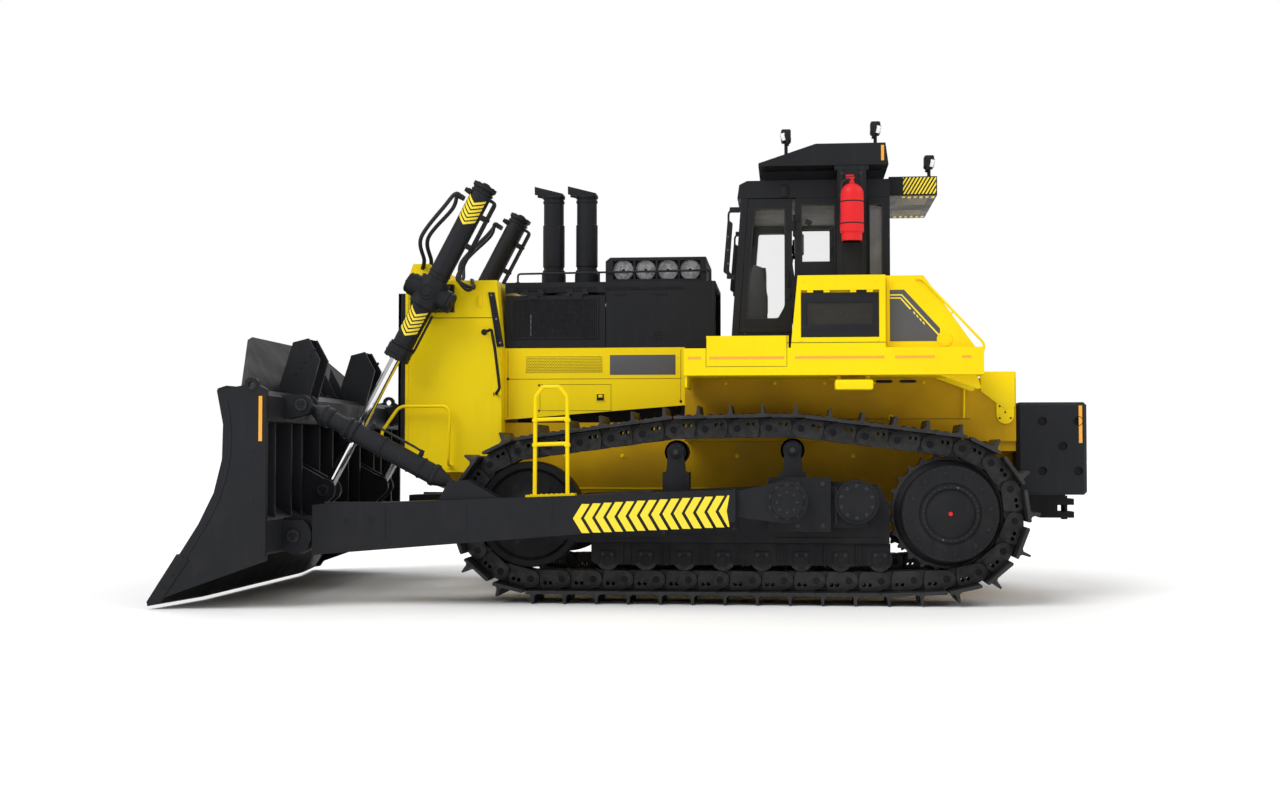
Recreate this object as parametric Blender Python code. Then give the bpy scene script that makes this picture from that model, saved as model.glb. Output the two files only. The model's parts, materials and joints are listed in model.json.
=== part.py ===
"""A large crawler bulldozer with a shallow semi-U blade, outside push arms and a rear counterweight.

Metres, +Z up. The machine faces -Y, its left side is +X, and the ground is Z = 0. Each group of pieces has
its own function, which places it from the named sizes below.
"""

import math

import bmesh
import bpy
from mathutils import Matrix, Vector

# Fits
GAP = 0.0003  # between faces that rest on each other
DOOR_GAP = 0.007  # all round a door or lid
PIN_PLAY = 0.0009  # of a pin in its eye, on the radius
ROD_PLAY = 0.0005  # of a rod in its barrel, on the radius
EYE_PLAY = 0.010  # each side of an eye between its cheeks

# Undercarriage
TRACK_GAUGE = 2.77
SHOE_WIDTH = 0.71
SHOE_PITCH = 0.3175
TRACK_BASE = 4.108  # sprocket axle to idler axle
SPROCKET_Y = 3.078
PIN_RADIUS = 0.64  # of the track pins round sprocket and idler
GROUSER_TIP = 0.23  # outside the line of the pins
PLATE_OUT = 0.135
PLATE_IN = 0.10
RAIL_IN = 0.09  # inside the line of the pins
LINK_HALF = 0.14
SPROCKET_RISE = 0.025  # of the axle above the flat run
RIM_RADIUS = 0.525
HUB_RADIUS = 0.467
HUB_HALF = 0.385  # half the length of the final drive's drum
IDLER_HUB_HALF = 0.15
ROLLER_RADIUS = 0.12
ROLLER_COUNT = 8
ROLLER_FIRST = 0.78  # behind the idler axle
ROLLER_LAST = 0.66  # ahead of the sprocket axle
CARRIER_RADIUS = 0.12
FRAME_HALF = 0.24  # half the width of a track frame
PIVOT_RADIUS = 0.11
TRUNNION_RADIUS = 0.10

# Hull
HULL_BOTTOM = 0.66
HULL_TOP = 1.80
DECK_Z = 2.235
FENDER_TOP = 2.50

# Engine end
GUARD_HALF = 0.82
GUARD_LENGTH = 1.03
GUARD_BOTTOM = 1.28
HOOD_HALF = 0.65
HOOD_TOP = 3.28
HOOD_SPLIT = 2.585  # between the dark upper sides and the yellow lower ones
SHEET = 0.04
STACK_RADIUS = 0.11
STACK_TOP = 4.30
STACK_FOOT = 0.13  # radius of the collar at its base

# Cab
CAB_HALF = 0.95
CAB_WALL = 0.06
CAB_FLOOR_Z = 2.70
CAB_TOP = 4.09
CAB_LENGTH = 1.61
CAB_LEAN = 0.10  # of the windscreen's top to the rear
POST_WIDTH = 0.15
POST_DEPTH = 0.29
ROPS_TOP = 4.61
ROPS_BOTTOM = 4.39
BOX_TOP = 3.205
TANK_TOP = 3.21

# Blade and arms
BLADE_WIDTH = 5.265
BLADE_TOP = 2.66
MOLD_TOP = 2.09
BLADE_SKIN = 0.09
MOLD_RADIUS = 1.50
WING_SWEEP = 0.15
WING_KNEE = 1.60
SPILL_FOOT = 2.50  # half widths of the spill guard
SPILL_TOP = 1.10
EDGE_PROUD = 0.010  # of the cutting edge past each end plate
FOOT = 0.35  # straight foot of the moldboard, under its curve
EDGE_ANGLE = math.radians(32.6)
EDGE_CLEARANCE = 0.04
END_PLATE = 0.06
ARM_CLEARANCE = 0.09  # from track shoe to push arm
ARM_WIDTH = 0.32
ARM_EYE = 0.19
ARM_EYE_WIDTH = 0.17
CHEEK = 0.055
BRACE_RADIUS = 0.10
BRACE_ROD = 0.085
BRACE_HEAD = 0.30
BRACE_STROKE = 0.30
BRACE_PIN = 0.035
ARM_PIN = 0.07
LIFT_BARREL = 0.11
LIFT_ROD = 0.055
LIFT_ABOVE = 1.25  # of the barrel above its trunnion
LIFT_BELOW = 0.768
LIFT_ROD_LENGTH = 2.36
LIFT_EYE = 0.085
COLLAR = 0.155
YOKE_PIN = 0.055

# Worked out from the sizes above
TRACK_X = TRACK_GAUGE / 2
SHOE_OUT = TRACK_X + SHOE_WIDTH / 2
SHOE_IN = TRACK_X - SHOE_WIDTH / 2
IDLER_Y = SPROCKET_Y - TRACK_BASE
PIN_Z = GROUSER_TIP
RAIL_Z = PIN_Z + RAIL_IN
HALF_SHOE_ANGLE = math.asin(SHOE_PITCH / 2 / PIN_RADIUS)
IDLER_RADIUS = PIN_RADIUS * math.cos(HALF_SHOE_ANGLE * 1.03) - RAIL_IN - GAP
IDLER_Z = PIN_Z + PIN_RADIUS
SPROCKET_Z = IDLER_Z + SPROCKET_RISE
ROLLER_Z = RAIL_Z + GAP + ROLLER_RADIUS
BEAM_BOTTOM = ROLLER_Z - 0.04
BEAM_TOP = ROLLER_Z + ROLLER_RADIUS + 0.04
HULL_HALF = SHOE_IN - 0.41
DECK_HALF = SHOE_IN - 0.08
HULL_FRONT = IDLER_Y - 1.32
HULL_REAR = SPROCKET_Y + 0.745
GUARD_REAR = IDLER_Y - 0.415
GUARD_FRONT = GUARD_REAR - GUARD_LENGTH
CAB_FRONT = SPROCKET_Y - 2.12
CAB_REAR = CAB_FRONT + CAB_LENGTH
HOOD_REAR = CAB_FRONT - 0.18
FENDER_FRONT = CAB_FRONT - 0.44
FENDER_REAR = SPROCKET_Y + 0.33
BOX_FRONT = CAB_FRONT + 0.60
BOX_REAR = CAB_FRONT + 1.515
POST_FRONT = CAB_FRONT + 1.075
TRUNNION = Vector((0, SPROCKET_Y - 1.559, 1.012))
PIVOT = Vector((0, SPROCKET_Y - 0.892, 1.009))
BLADE_PIN = Vector((0, IDLER_Y - 2.22, 0.676))
ROD_PIN = Vector((0, IDLER_Y - 2.195, 1.10))
LIFT_PIVOT = Vector((0, IDLER_Y - 1.121, 3.133))
BRACE_FRONT = Vector((0, IDLER_Y - 2.159, 1.95))
BRACE_REAR = Vector((0, IDLER_Y - 0.612, 1.13))
LIFT_X = GUARD_HALF + 0.28
ARM_IN = SHOE_OUT + ARM_CLEARANCE
ARM_OUT = ARM_IN + ARM_WIDTH
ARM_X = (ARM_IN + ARM_OUT) / 2
BLADE_HALF = BLADE_WIDTH / 2
BLADE_REAR = BLADE_PIN.y - 0.115
MOLD_DEEPEST = BLADE_PIN.y - 0.545
MOLD_Z = 1.62
SIDES = ((1, "left"), (-1, "right"))

YELLOW = ((0.92, 0.72, 0.0), 0.4, 0.0)
BLACK = ((0.035, 0.037, 0.042), 0.5, 0.0)
STEEL = ((0.09, 0.09, 0.10), 0.45, 0.8)
CHROME = ((0.8, 0.8, 0.82), 0.12, 1.0)
RED = ((0.75, 0.03, 0.03), 0.35, 0.0)
FABRIC = ((0.05, 0.05, 0.055), 0.9, 0.0)
BODIES = {}


# ---------------------------------------------------------------- shapes


def clear_scene():
    for obj in list(bpy.data.objects):
        bpy.data.objects.remove(obj)


def material(name, finish):
    colour, roughness, metallic = finish
    made = bpy.data.materials.new(name)
    made.use_nodes = True
    shader = made.node_tree.nodes["Principled BSDF"]
    shader.inputs["Base Color"].default_value = (*colour, 1)
    shader.inputs["Roughness"].default_value = roughness
    shader.inputs["Metallic"].default_value = metallic
    return made


def shape(bm):
    """A closed mesh as a nameless object, with its faces turned outwards."""
    bmesh.ops.recalc_face_normals(bm, faces=bm.faces)
    mesh = bpy.data.meshes.new("shape")
    bm.to_mesh(mesh)
    bm.free()
    made = bpy.data.objects.new("shape", mesh)
    bpy.context.scene.collection.objects.link(made)
    return made


def prism(outline, x0, x1, bevel=0.0):
    """The (y, z) outline, extruded from x0 to x1."""
    bm = bmesh.new()
    low = [bm.verts.new((x0, y, z)) for y, z in outline]
    high = [bm.verts.new((x1, y, z)) for y, z in outline]
    bm.faces.new(low)
    bm.faces.new(high)
    for i in range(len(outline)):
        j = (i + 1) % len(outline)
        bm.faces.new((low[i], low[j], high[j], high[i]))
    if bevel:
        bmesh.ops.bevel(bm, geom=bm.edges[:], offset=bevel, segments=1, affect="EDGES")
    return shape(bm)


def block(x0, x1, y0, y1, z0, z1, bevel=0.0):
    return prism([(y0, z0), (y1, z0), (y1, z1), (y0, z1)], x0, x1, bevel)


def turned(profile, origin, axis, segments=32):
    """A solid of revolution. The profile is (distance along the axis, radius) points, from axis to axis."""
    axis = Vector(axis).normalized()
    side = axis.cross((1, 0, 0)) if abs(axis.x) < 0.9 else Vector((0, 0, 1))
    side.normalize()
    up = axis.cross(side)
    bm = bmesh.new()
    rows = []
    for along, radius in profile:
        centre = Vector(origin) + axis * along
        if radius == 0:
            rows.append([bm.verts.new(centre)])
            continue
        turns = [2 * math.pi * k / segments for k in range(segments)]
        rows.append([bm.verts.new(centre + (side * math.cos(t) + up * math.sin(t)) * radius) for t in turns])
    for a, b in zip(rows, rows[1:]):
        for k in range(segments):
            j = (k + 1) % segments
            corners = [a[k % len(a)], a[j % len(a)], b[j % len(b)], b[k % len(b)]]
            bm.faces.new(list(dict.fromkeys(corners)))
    return shape(bm)


def rod(start, end, radius, segments=16):
    """A plain round bar between two points."""
    start = Vector(start)
    length = (Vector(end) - start).length
    return turned([(0, 0), (0, radius), (length, radius), (length, 0)], start, Vector(end) - start, segments)


def cross_rod(x0, x1, centre, radius, segments=24):
    """A round bar along X, through the (y, z) of a point."""
    return rod((x0, centre.y, centre.z), (x1, centre.y, centre.z), radius, segments)


def boolean(base, tool, operation):
    modifier = base.modifiers.new(operation, "BOOLEAN")
    modifier.operation = operation
    modifier.object = tool
    graph = bpy.context.evaluated_depsgraph_get()
    mesh = bpy.data.meshes.new_from_object(base.evaluated_get(graph))
    base.modifiers.clear()
    base.data = mesh
    bpy.data.objects.remove(tool)
    return base


def joined(*shapes):
    base = shapes[0]
    for other in shapes[1:]:
        base = boolean(base, other, "UNION")
    return base


def cut(base, *tools):
    for tool in tools:
        base = boolean(base, tool, "DIFFERENCE")
    return base


def mirrored(solid):
    """The same solid on the other side of the centre plane."""
    mesh = solid.data.copy()
    mesh.transform(Matrix.Diagonal((-1, 1, 1, 1)))
    mesh.flip_normals()
    made = bpy.data.objects.new("shape", mesh)
    bpy.context.scene.collection.objects.link(made)
    return made


def body(name, pivot, parent=None):
    """The empty that a moving body hangs on, with its origin on the joint's axis."""
    made = bpy.data.objects.new(name + "_body", None)
    bpy.context.scene.collection.objects.link(made)
    pivot = Vector(pivot)
    made.location = pivot
    if parent:
        made.parent = BODIES[parent][0]
        made.location = pivot - BODIES[parent][1]
    BODIES[name] = (made, pivot)


def piece(name, finish, solid, on=None):
    """Names a finished solid, gives it its material and hangs it on its body."""
    solid.name = name
    solid.data.name = name
    solid.data.materials.clear()
    solid.data.materials.append(material(name, finish))
    solid.data.shade_smooth()
    solid.data.set_sharp_from_angle(angle=math.radians(30))
    if on:
        holder, pivot = BODIES[on]
        solid.data.transform(Matrix.Translation(-pivot))
        solid.parent = holder
    return solid


def pair_of_bodies(name, pivot, parent=None):
    for side, label in SIDES:
        holder = parent if parent in BODIES else f"{parent}_{label}"
        body(f"{name}_{label}", (side * pivot[0], pivot[1], pivot[2]), parent and holder)


def pair(name, finish, solid, on=None):
    """Names the left solid and a mirrored right one, each on its own body or both on a shared one."""
    other = mirrored(solid)
    for made, label in ((solid, "left"), (other, "right")):
        holder = on if on in BODIES else f"{on}_{label}"
        piece(f"{name}_{label}", finish, made, on and holder)


def arc(centre, radius, start, end, steps):
    """Points on an arc in the YZ plane, by angle in degrees from +Y towards +Z."""
    cy, cz = centre
    angles = [math.radians(start + (end - start) * k / steps) for k in range(steps + 1)]
    return [(cy + radius * math.cos(a), cz + radius * math.sin(a)) for a in angles]


# ---------------------------------------------------------------- undercarriage


def tangent(a, b):
    """Where a belt leaves circle a and meets circle b, both on its left as it runs."""
    (ay, az, ar), (by, bz, br) = a, b
    reach = Vector((by - ay, bz - az))
    along = reach.normalized()
    right = Vector((along.y, -along.x))
    lean = (ar - br) / reach.length
    normal = along * lean + right * math.sqrt(1 - lean * lean)
    return Vector((ay, az)) + normal * ar, Vector((by, bz)) + normal * br, normal


def track_pins():
    """The track's pins in the YZ plane, evenly spaced along the belt round idler, rollers and sprocket."""
    last_roller = SPROCKET_Y - ROLLER_LAST
    carrier = CARRIER_RADIUS + 0.012 + RAIL_IN
    circles = [
        (IDLER_Y, IDLER_Z, PIN_RADIUS),
        (last_roller, PIN_Z + 0.2, 0.2),
        (SPROCKET_Y, SPROCKET_Z, PIN_RADIUS),
        *[(y, z, carrier) for y, z in carrier_centres()[::-1]],
    ]
    points = []
    count = len(circles)
    legs = [tangent(circles[i], circles[(i + 1) % count]) for i in range(count)]
    for i, (start, end, normal) in enumerate(legs):
        points += [start, end]
        cy, cz, radius = circles[(i + 1) % count]
        leave = legs[(i + 1) % count][2]
        turn = math.atan2(normal.x * leave.y - normal.y * leave.x, normal.dot(leave))
        first = math.atan2(normal.y, normal.x)
        steps = max(1, int(turn / math.radians(2)))
        for k in range(1, steps):
            angle = first + turn * k / steps
            points.append(Vector((cy + radius * math.cos(angle), cz + radius * math.sin(angle))))
    lengths = [(points[(i + 1) % len(points)] - points[i]).length for i in range(len(points))]
    total = sum(lengths)
    shoes = round(total / SHOE_PITCH)
    pins = []
    for k in range(shoes):
        left = total * k / shoes
        i = 0
        while left > lengths[i]:
            left -= lengths[i]
            i += 1
        pins.append(points[i].lerp(points[(i + 1) % len(points)], left / lengths[i] if lengths[i] else 0))
    return pins


def carrier_centres():
    return [(SPROCKET_Y - 2.647, 1.487), (SPROCKET_Y - 1.504, 1.506)]


def offset_loop(pins, distance):
    """The line of the pins, moved outwards by a distance."""
    outline = []
    for i, pin in enumerate(pins):
        before = (pin - pins[i - 1]).normalized()
        after = (pins[(i + 1) % len(pins)] - pin).normalized()
        normal = Vector((before.y + after.y, -before.x - after.x)).normalized()
        miter = distance / math.sqrt((1 + before.dot(after)) / 2)
        outline.append(pin + normal * miter)
    return outline


def band(outside, inside, x0, x1):
    """A closed loop between an outer and an inner outline."""
    return cut(prism(outside, x0, x1), prism(inside, x0 - 0.1, x1 + 0.1))


def shoe_outline(pins):
    """The outside of the shoes, with one grouser on each."""
    outline = []
    for i, pin in enumerate(pins):
        after = pins[(i + 1) % len(pins)] - pin
        along = after.normalized()
        normal = Vector((along.y, -along.x))
        plate = pin + normal * PLATE_OUT
        tip = pin + normal * GROUSER_TIP
        outline += [
            plate + along * 0.030,
            tip + along * 0.048,
            tip + along * 0.072,
            plate + along * 0.105,
            plate + along * (after.length - 0.012),
        ]
    return outline


def undercarriage():
    pins = track_pins()
    shoes = band(shoe_outline(pins), offset_loop(pins, PLATE_IN), SHOE_IN, SHOE_OUT)
    rails = (offset_loop(pins, PLATE_IN + 0.01), offset_loop(pins, -RAIL_IN))
    links = band(*rails, TRACK_X - LINK_HALF, TRACK_X + LINK_HALF)
    pair("track", STEEL, joined(shoes, links))

    profile = [
        (-HUB_HALF, 0), (-HUB_HALF, 0.40), (-0.12, 0.43), (-0.06, RIM_RADIUS), (0.06, RIM_RADIUS),
        (0.09, 0.47), (0.30, 0.45), (0.31, HUB_RADIUS), (HUB_HALF, HUB_RADIUS), (0.40, 0.43), (0.40, 0),
    ]
    pair("sprocket", BLACK, turned(profile, (TRACK_X, SPROCKET_Y, SPROCKET_Z), (1, 0, 0), 28))

    hub = IDLER_HUB_HALF
    profile = [
        (-hub, 0), (-hub, 0.12), (-0.10, 0.16), (-0.10, IDLER_RADIUS), (0.10, IDLER_RADIUS), (0.10, 0.16),
        (hub, 0.12), (hub, 0),
    ]
    pair("idler", BLACK, turned(profile, (TRACK_X, IDLER_Y, IDLER_Z), (1, 0, 0), 28))

    first = IDLER_Y + ROLLER_FIRST
    last = SPROCKET_Y - ROLLER_LAST
    beams = [block(TRACK_X + s * 0.16, TRACK_X + s * 0.20, first - 0.16, last + 0.10, BEAM_BOTTOM, BEAM_TOP)
             for s in (-1, 1)]
    rollers = []
    for k in range(ROLLER_COUNT):
        centre = Vector((0, first + (last - first) / (ROLLER_COUNT - 1) * k, ROLLER_Z))
        rollers.append(cross_rod(TRACK_X - 0.165, TRACK_X + 0.165, centre, ROLLER_RADIUS, 12))
    pair("bottom_rollers", BLACK, joined(*beams, *rollers))
    track_frame()


def track_frame():
    """A box frame with the idler's fork, the carrier rollers on top and the arm's trunnion outside."""
    bottom = BEAM_TOP + GAP
    rear = SPROCKET_Y - 0.57
    outline = [
        (IDLER_Y - 0.12, 0.74), (IDLER_Y + 0.50, bottom), (rear, bottom), (rear, 0.98), (rear - 0.10, 1.16),
        (PIVOT.y - 0.25, 1.20), (TRUNNION.y - 0.40, 1.14), (IDLER_Y + 0.55, 1.08), (IDLER_Y + 0.10, 1.00),
        (IDLER_Y - 0.12, 0.98),
    ]
    frame = prism(outline, TRACK_X - FRAME_HALF, TRACK_X + FRAME_HALF)
    slot = IDLER_HUB_HALF + GAP
    slot_rear = IDLER_Y + IDLER_RADIUS + 0.05
    frame = cut(frame, block(TRACK_X - slot, TRACK_X + slot, IDLER_Y - 0.3, slot_rear, 0.3, 1.3))
    parts = []
    for y, z in carrier_centres():
        parts.append(block(TRACK_X - 0.06, TRACK_X + 0.22, y - 0.13, y + 0.13, 1.02, 1.29))
        parts.append(block(TRACK_X + 0.165, TRACK_X + 0.215, y - 0.08, y + 0.08, 1.25, z + 0.05))
        profile = [
            (-0.13, 0), (-0.13, CARRIER_RADIUS), (0.13, CARRIER_RADIUS),
            (0.13, 0.065), (0.23, 0.065), (0.23, 0),
        ]
        parts.append(turned(profile, (TRACK_X, y, z), (1, 0, 0), 12))
    outer = ARM_IN - 0.02
    parts.append(block(TRACK_X + 0.20, outer, TRUNNION.y - 0.18, TRUNNION.y + 0.42, 0.72, 1.24))
    parts.append(block(TRACK_X + 0.21, outer - 0.06, TRUNNION.y + 0.3, PIVOT.y + 0.1, 0.76, 1.16))
    parts.append(cross_rod(TRACK_X + 0.19, outer + 0.01, PIVOT, 0.21, 24))
    pin_end = ARM_X + ARM_EYE_WIDTH / 2 + EYE_PLAY
    parts.append(cross_rod(outer - 0.02, pin_end + 0.01, TRUNNION, TRUNNION_RADIUS, 28))
    parts.append(cross_rod(pin_end, pin_end + 0.05, TRUNNION, 0.15, 16))
    pair("track_frame", BLACK, joined(frame, *parts))


def hull():
    """The main frame: a welded hull, the rear deck over it, the axle housings and the pivot shaft."""
    deck_front = FENDER_FRONT - 0.05
    low = [
        (HULL_FRONT, 1.20), (HULL_FRONT + 0.65, 0.95), (IDLER_Y - 0.20, HULL_BOTTOM + 0.04),
        (IDLER_Y + 0.2, HULL_BOTTOM), (SPROCKET_Y + 0.10, HULL_BOTTOM), (SPROCKET_Y + 0.50, 0.95),
        (HULL_REAR, 1.30), (HULL_REAR, 2.0), (deck_front, 2.0), (deck_front, HULL_TOP),
        (GUARD_REAR + GAP, HULL_TOP), (GUARD_REAR + GAP, GUARD_BOTTOM - GAP),
        (HULL_FRONT, GUARD_BOTTOM - GAP),
    ]
    solid = prism(low, -HULL_HALF, HULL_HALF)
    deck = block(-DECK_HALF, DECK_HALF, deck_front + 0.01, HULL_REAR - 0.01, 1.60, DECK_Z)
    tail = prism(
        [(SPROCKET_Y + 0.45, 1.50), (HULL_REAR - 0.005, 1.50), (HULL_REAR - 0.005, 2.30),
         (SPROCKET_Y + 0.45, DECK_Z + 0.01)],
        -DECK_HALF + 0.05, DECK_HALF - 0.05,
    )
    axle = Vector((0, SPROCKET_Y, SPROCKET_Z))
    housing_end = TRACK_X - HUB_HALF - GAP
    housing = cross_rod(-housing_end, housing_end, axle, 0.36, 28)
    reach = TRACK_X - FRAME_HALF - GAP
    shaft = cross_rod(-reach, reach, PIVOT, PIVOT_RADIUS)
    bar_y = IDLER_Y + 0.85
    tunnel = block(-1.0, 1.0, bar_y - 0.17, bar_y + 0.17, 0.3, 1.06)
    solid = cut(joined(solid, deck, tail, housing, shaft), tunnel)
    piece("main_frame", YELLOW, solid)
    bar = block(-reach, reach, bar_y - 0.13, bar_y + 0.13, 0.80, 1.06 - GAP)
    piece("equalizer_bar", BLACK, bar)


# ---------------------------------------------------------------- engine end


def radiator_guard():
    top = HOOD_TOP + 0.01
    outline = [
        (GUARD_FRONT, GUARD_BOTTOM), (GUARD_REAR, GUARD_BOTTOM), (GUARD_REAR, HOOD_SPLIT),
        (GUARD_REAR - 0.06, top), (GUARD_FRONT + 0.34, top), (GUARD_FRONT + 0.27, top + 0.18),
        (GUARD_FRONT + 0.08, top + 0.18), (GUARD_FRONT, top - 0.05),
    ]
    shell = prism(outline, -GUARD_HALF, GUARD_HALF)
    inside = GUARD_HALF - 0.10
    cavity = block(
        -inside, inside, GUARD_FRONT - 0.2, GUARD_REAR - 0.35, GUARD_BOTTOM + 0.12, HOOD_TOP - 0.14
    )
    piece("radiator_guard", YELLOW, cut(shell, cavity))
    face = GUARD_FRONT - GAP
    wide = GUARD_HALF - 0.02
    grille = block(-wide, wide, face - 0.08, face, GUARD_BOTTOM + 0.05, HOOD_TOP - 0.12)
    rows = 7
    pitch = (HOOD_TOP - GUARD_BOTTOM - 0.45) / rows
    slots = []
    for k in range(rows):
        low = GUARD_BOTTOM + 0.20 + pitch * k
        slots.append(block(-inside + 0.04, inside - 0.04, face - 0.2, face + 0.1, low, low + pitch * 0.45))
    piece("radiator_grille", BLACK, cut(grille, *slots))
    y, z = LIFT_PIVOT.y, LIFT_PIVOT.z
    x0 = GUARD_HALF + GAP
    outline = [
        (y - 0.26, z - 0.18), (y + 0.20, z - 0.18), (y + 0.20, z + 0.11), (y - 0.10, z + 0.13),
        (y - 0.26, z + 0.09),
    ]
    plate = prism(outline, x0, x0 + 0.06)
    face = LIFT_X - COLLAR - GAP
    boss = cross_rod(x0 + 0.05, face, LIFT_PIVOT, 0.12)
    pin = cross_rod(face - 0.02, LIFT_X - 0.085, LIFT_PIVOT, YOKE_PIN)
    pair("lift_yoke", BLACK, joined(plate, boss, pin))


def hinge(leaf, place, along, starts, radius, leaf_strap, carrier_strap):
    """Adds knuckles to a leaf, and returns it with the lugs for what carries it. A strap is a function from
    a knuckle's two ends to the block that ties it to its side."""
    length = 0.10
    lug = 0.06
    lugs = []

    def knuckle(start, end):
        ends = [Vector(place), Vector(place)]
        ends[0][along] = start
        ends[1][along] = end
        return rod(*ends, radius, 12)

    for start in starts:
        end = start + length
        leaf = joined(leaf, leaf_strap(start, end), knuckle(start, end))
        for a, b in ((start - lug, start - GAP), (end + GAP, end + lug)):
            lugs += [carrier_strap(a, b), knuckle(a, b)]
    return leaf, lugs


def engine():
    rear = FENDER_FRONT - 0.12
    piece("engine_block", BLACK, block(-0.45, 0.45, GUARD_REAR + 0.10, rear, HULL_TOP + GAP, 2.95))
    front = GUARD_REAR + GAP
    inner = HOOD_HALF - SHEET
    outer = block(-HOOD_HALF, HOOD_HALF, front, HOOD_REAR, HOOD_SPLIT, HOOD_TOP)
    inside = block(-inner, inner, front - 0.1, HOOD_REAR + 0.1, HOOD_SPLIT - 0.1, HOOD_TOP - SHEET)
    hood = cut(outer, inside)
    door_rear = HOOD_REAR - 1.15
    door_top = 3.17
    radius = 0.012
    axis = (HOOD_HALF + radius + 0.002, 0, door_top - radius)
    way = block(inner - 0.05, HOOD_HALF + 0.05, front - 0.05, door_rear, HOOD_SPLIT - 0.05, door_top)
    hood = cut(hood, mirrored(way), way)
    pair_of_bodies("engine_door", axis)
    leaf = block(
        inner, HOOD_HALF, front + DOOR_GAP, door_rear - DOOR_GAP, HOOD_SPLIT + DOOR_GAP,
        axis[2] - radius - DOOR_GAP,
    )
    leaf, lugs = hinge(
        leaf, axis, 1, (front + 0.25, door_rear - 0.35), radius,
        lambda a, b: block(HOOD_HALF - 0.01, axis[0] + 0.008, a, b, axis[2] - 0.06, axis[2]),
        lambda a, b: block(HOOD_HALF - 0.01, axis[0] + 0.008, a, b, axis[2], door_top + 0.04),
    )
    hood = joined(hood, *[mirrored(lug) for lug in lugs], *lugs)
    pair("engine_door", BLACK, leaf, "engine_door")
    piece("hood", BLACK, hood)
    rear = FENDER_FRONT - 0.06
    outline = [(front, 1.83), (rear, 1.98), (rear, HOOD_SPLIT - GAP), (front, HOOD_SPLIT - GAP)]
    pair("lower_panel", YELLOW, prism(outline, inner, HOOD_HALF))
    stacks_and_box()


def stacks_and_box():
    base = HOOD_TOP + GAP
    bore = STACK_RADIUS - 0.012
    for label, y in (("front", HOOD_REAR - 1.80), ("rear", HOOD_REAR - 1.435)):
        height = STACK_TOP - base
        profile = [
            (0, 0), (0, STACK_FOOT), (0.15, STACK_FOOT), (0.16, STACK_RADIUS), (height, STACK_RADIUS),
            (height, bore), (0.5, bore), (0.5, 0),
        ]
        stack = turned(profile, (0, y, base), (0, 0, 1), 24)
        tip = (y - 0.20, STACK_TOP + 0.09)
        back = y + STACK_RADIUS
        beak = prism(
            [(y - 0.10, STACK_TOP - 0.02), tip, (back, STACK_TOP + 0.01), (back, STACK_TOP - 0.02)],
            -0.10, 0.10,
        )
        throat = prism(
            [(y - 0.12, STACK_TOP - 0.03), (tip[0] - 0.03, tip[1] - 0.01),
             (y + bore - 0.01, STACK_TOP - 0.01), (y + bore - 0.01, STACK_TOP - 0.03)],
            -0.085, 0.085,
        )
        piece(f"exhaust_{label}", BLACK, joined(stack, cut(beak, throat)))
    y0 = HOOD_REAR - 1.16
    y1 = HOOD_REAR - 0.10
    top = base + 0.26
    solid = prism([(y0, base), (y1, base), (y1, top), (y0 + 0.05, top), (y0, top - 0.04)], -0.60, 0.60)
    recess = block(0.55, 0.7, y0 + 0.07, y1 - 0.05, base + 0.03, top - 0.03)
    piece("precleaner_box", BLACK, cut(solid, mirrored(recess), recess))


# ---------------------------------------------------------------- deck, cab and rear


def fender():
    slab = block(0.75, SHOE_OUT, FENDER_FRONT, FENDER_REAR, DECK_Z + GAP, FENDER_TOP)
    foot = FENDER_TOP - 0.02
    low_box = block(
        CAB_HALF + 0.07, SHOE_OUT - 0.005, FENDER_FRONT + 0.22, BOX_FRONT - 0.02, foot, FENDER_TOP + 0.12
    )
    x0 = CAB_HALF + 0.18
    outline = [(BOX_FRONT, foot), (BOX_REAR, foot), (BOX_REAR, BOX_TOP), (BOX_FRONT + 0.07, BOX_TOP)]
    box = prism(outline, x0, SHOE_OUT - 0.002)
    front = BOX_FRONT + 0.10
    rear = BOX_REAR - 0.06
    low = 2.60
    high = 3.06
    wall = 0.04
    cavity = block(x0 + wall, SHOE_OUT - wall, front + wall, rear - wall, low + wall, high - wall)
    way = block(SHOE_OUT - 0.05, SHOE_OUT + 0.1, front, rear, low, high)
    solid = cut(joined(slab, low_box, box), way, cavity)
    radius = 0.010
    axis = (SHOE_OUT - 0.012, 0, high - radius - 0.004)
    pair_of_bodies("box_lid", axis)
    lid = block(
        SHOE_OUT - 0.036, SHOE_OUT - 0.006, front + DOOR_GAP, rear - DOOR_GAP, low + DOOR_GAP,
        axis[2] - radius - DOOR_GAP,
    )
    lid, lugs = hinge(
        lid, axis, 1, (front + 0.12, rear - 0.22), radius,
        lambda a, b: block(axis[0] - 0.006, axis[0] + 0.005, a, b, axis[2] - 0.04, axis[2]),
        lambda a, b: block(axis[0] - 0.006, axis[0] + 0.005, a, b, axis[2], high + 0.01),
    )
    pair("box_lid", BLACK, lid, "box_lid")
    pair("fender", YELLOW, joined(solid, *lugs))


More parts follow.
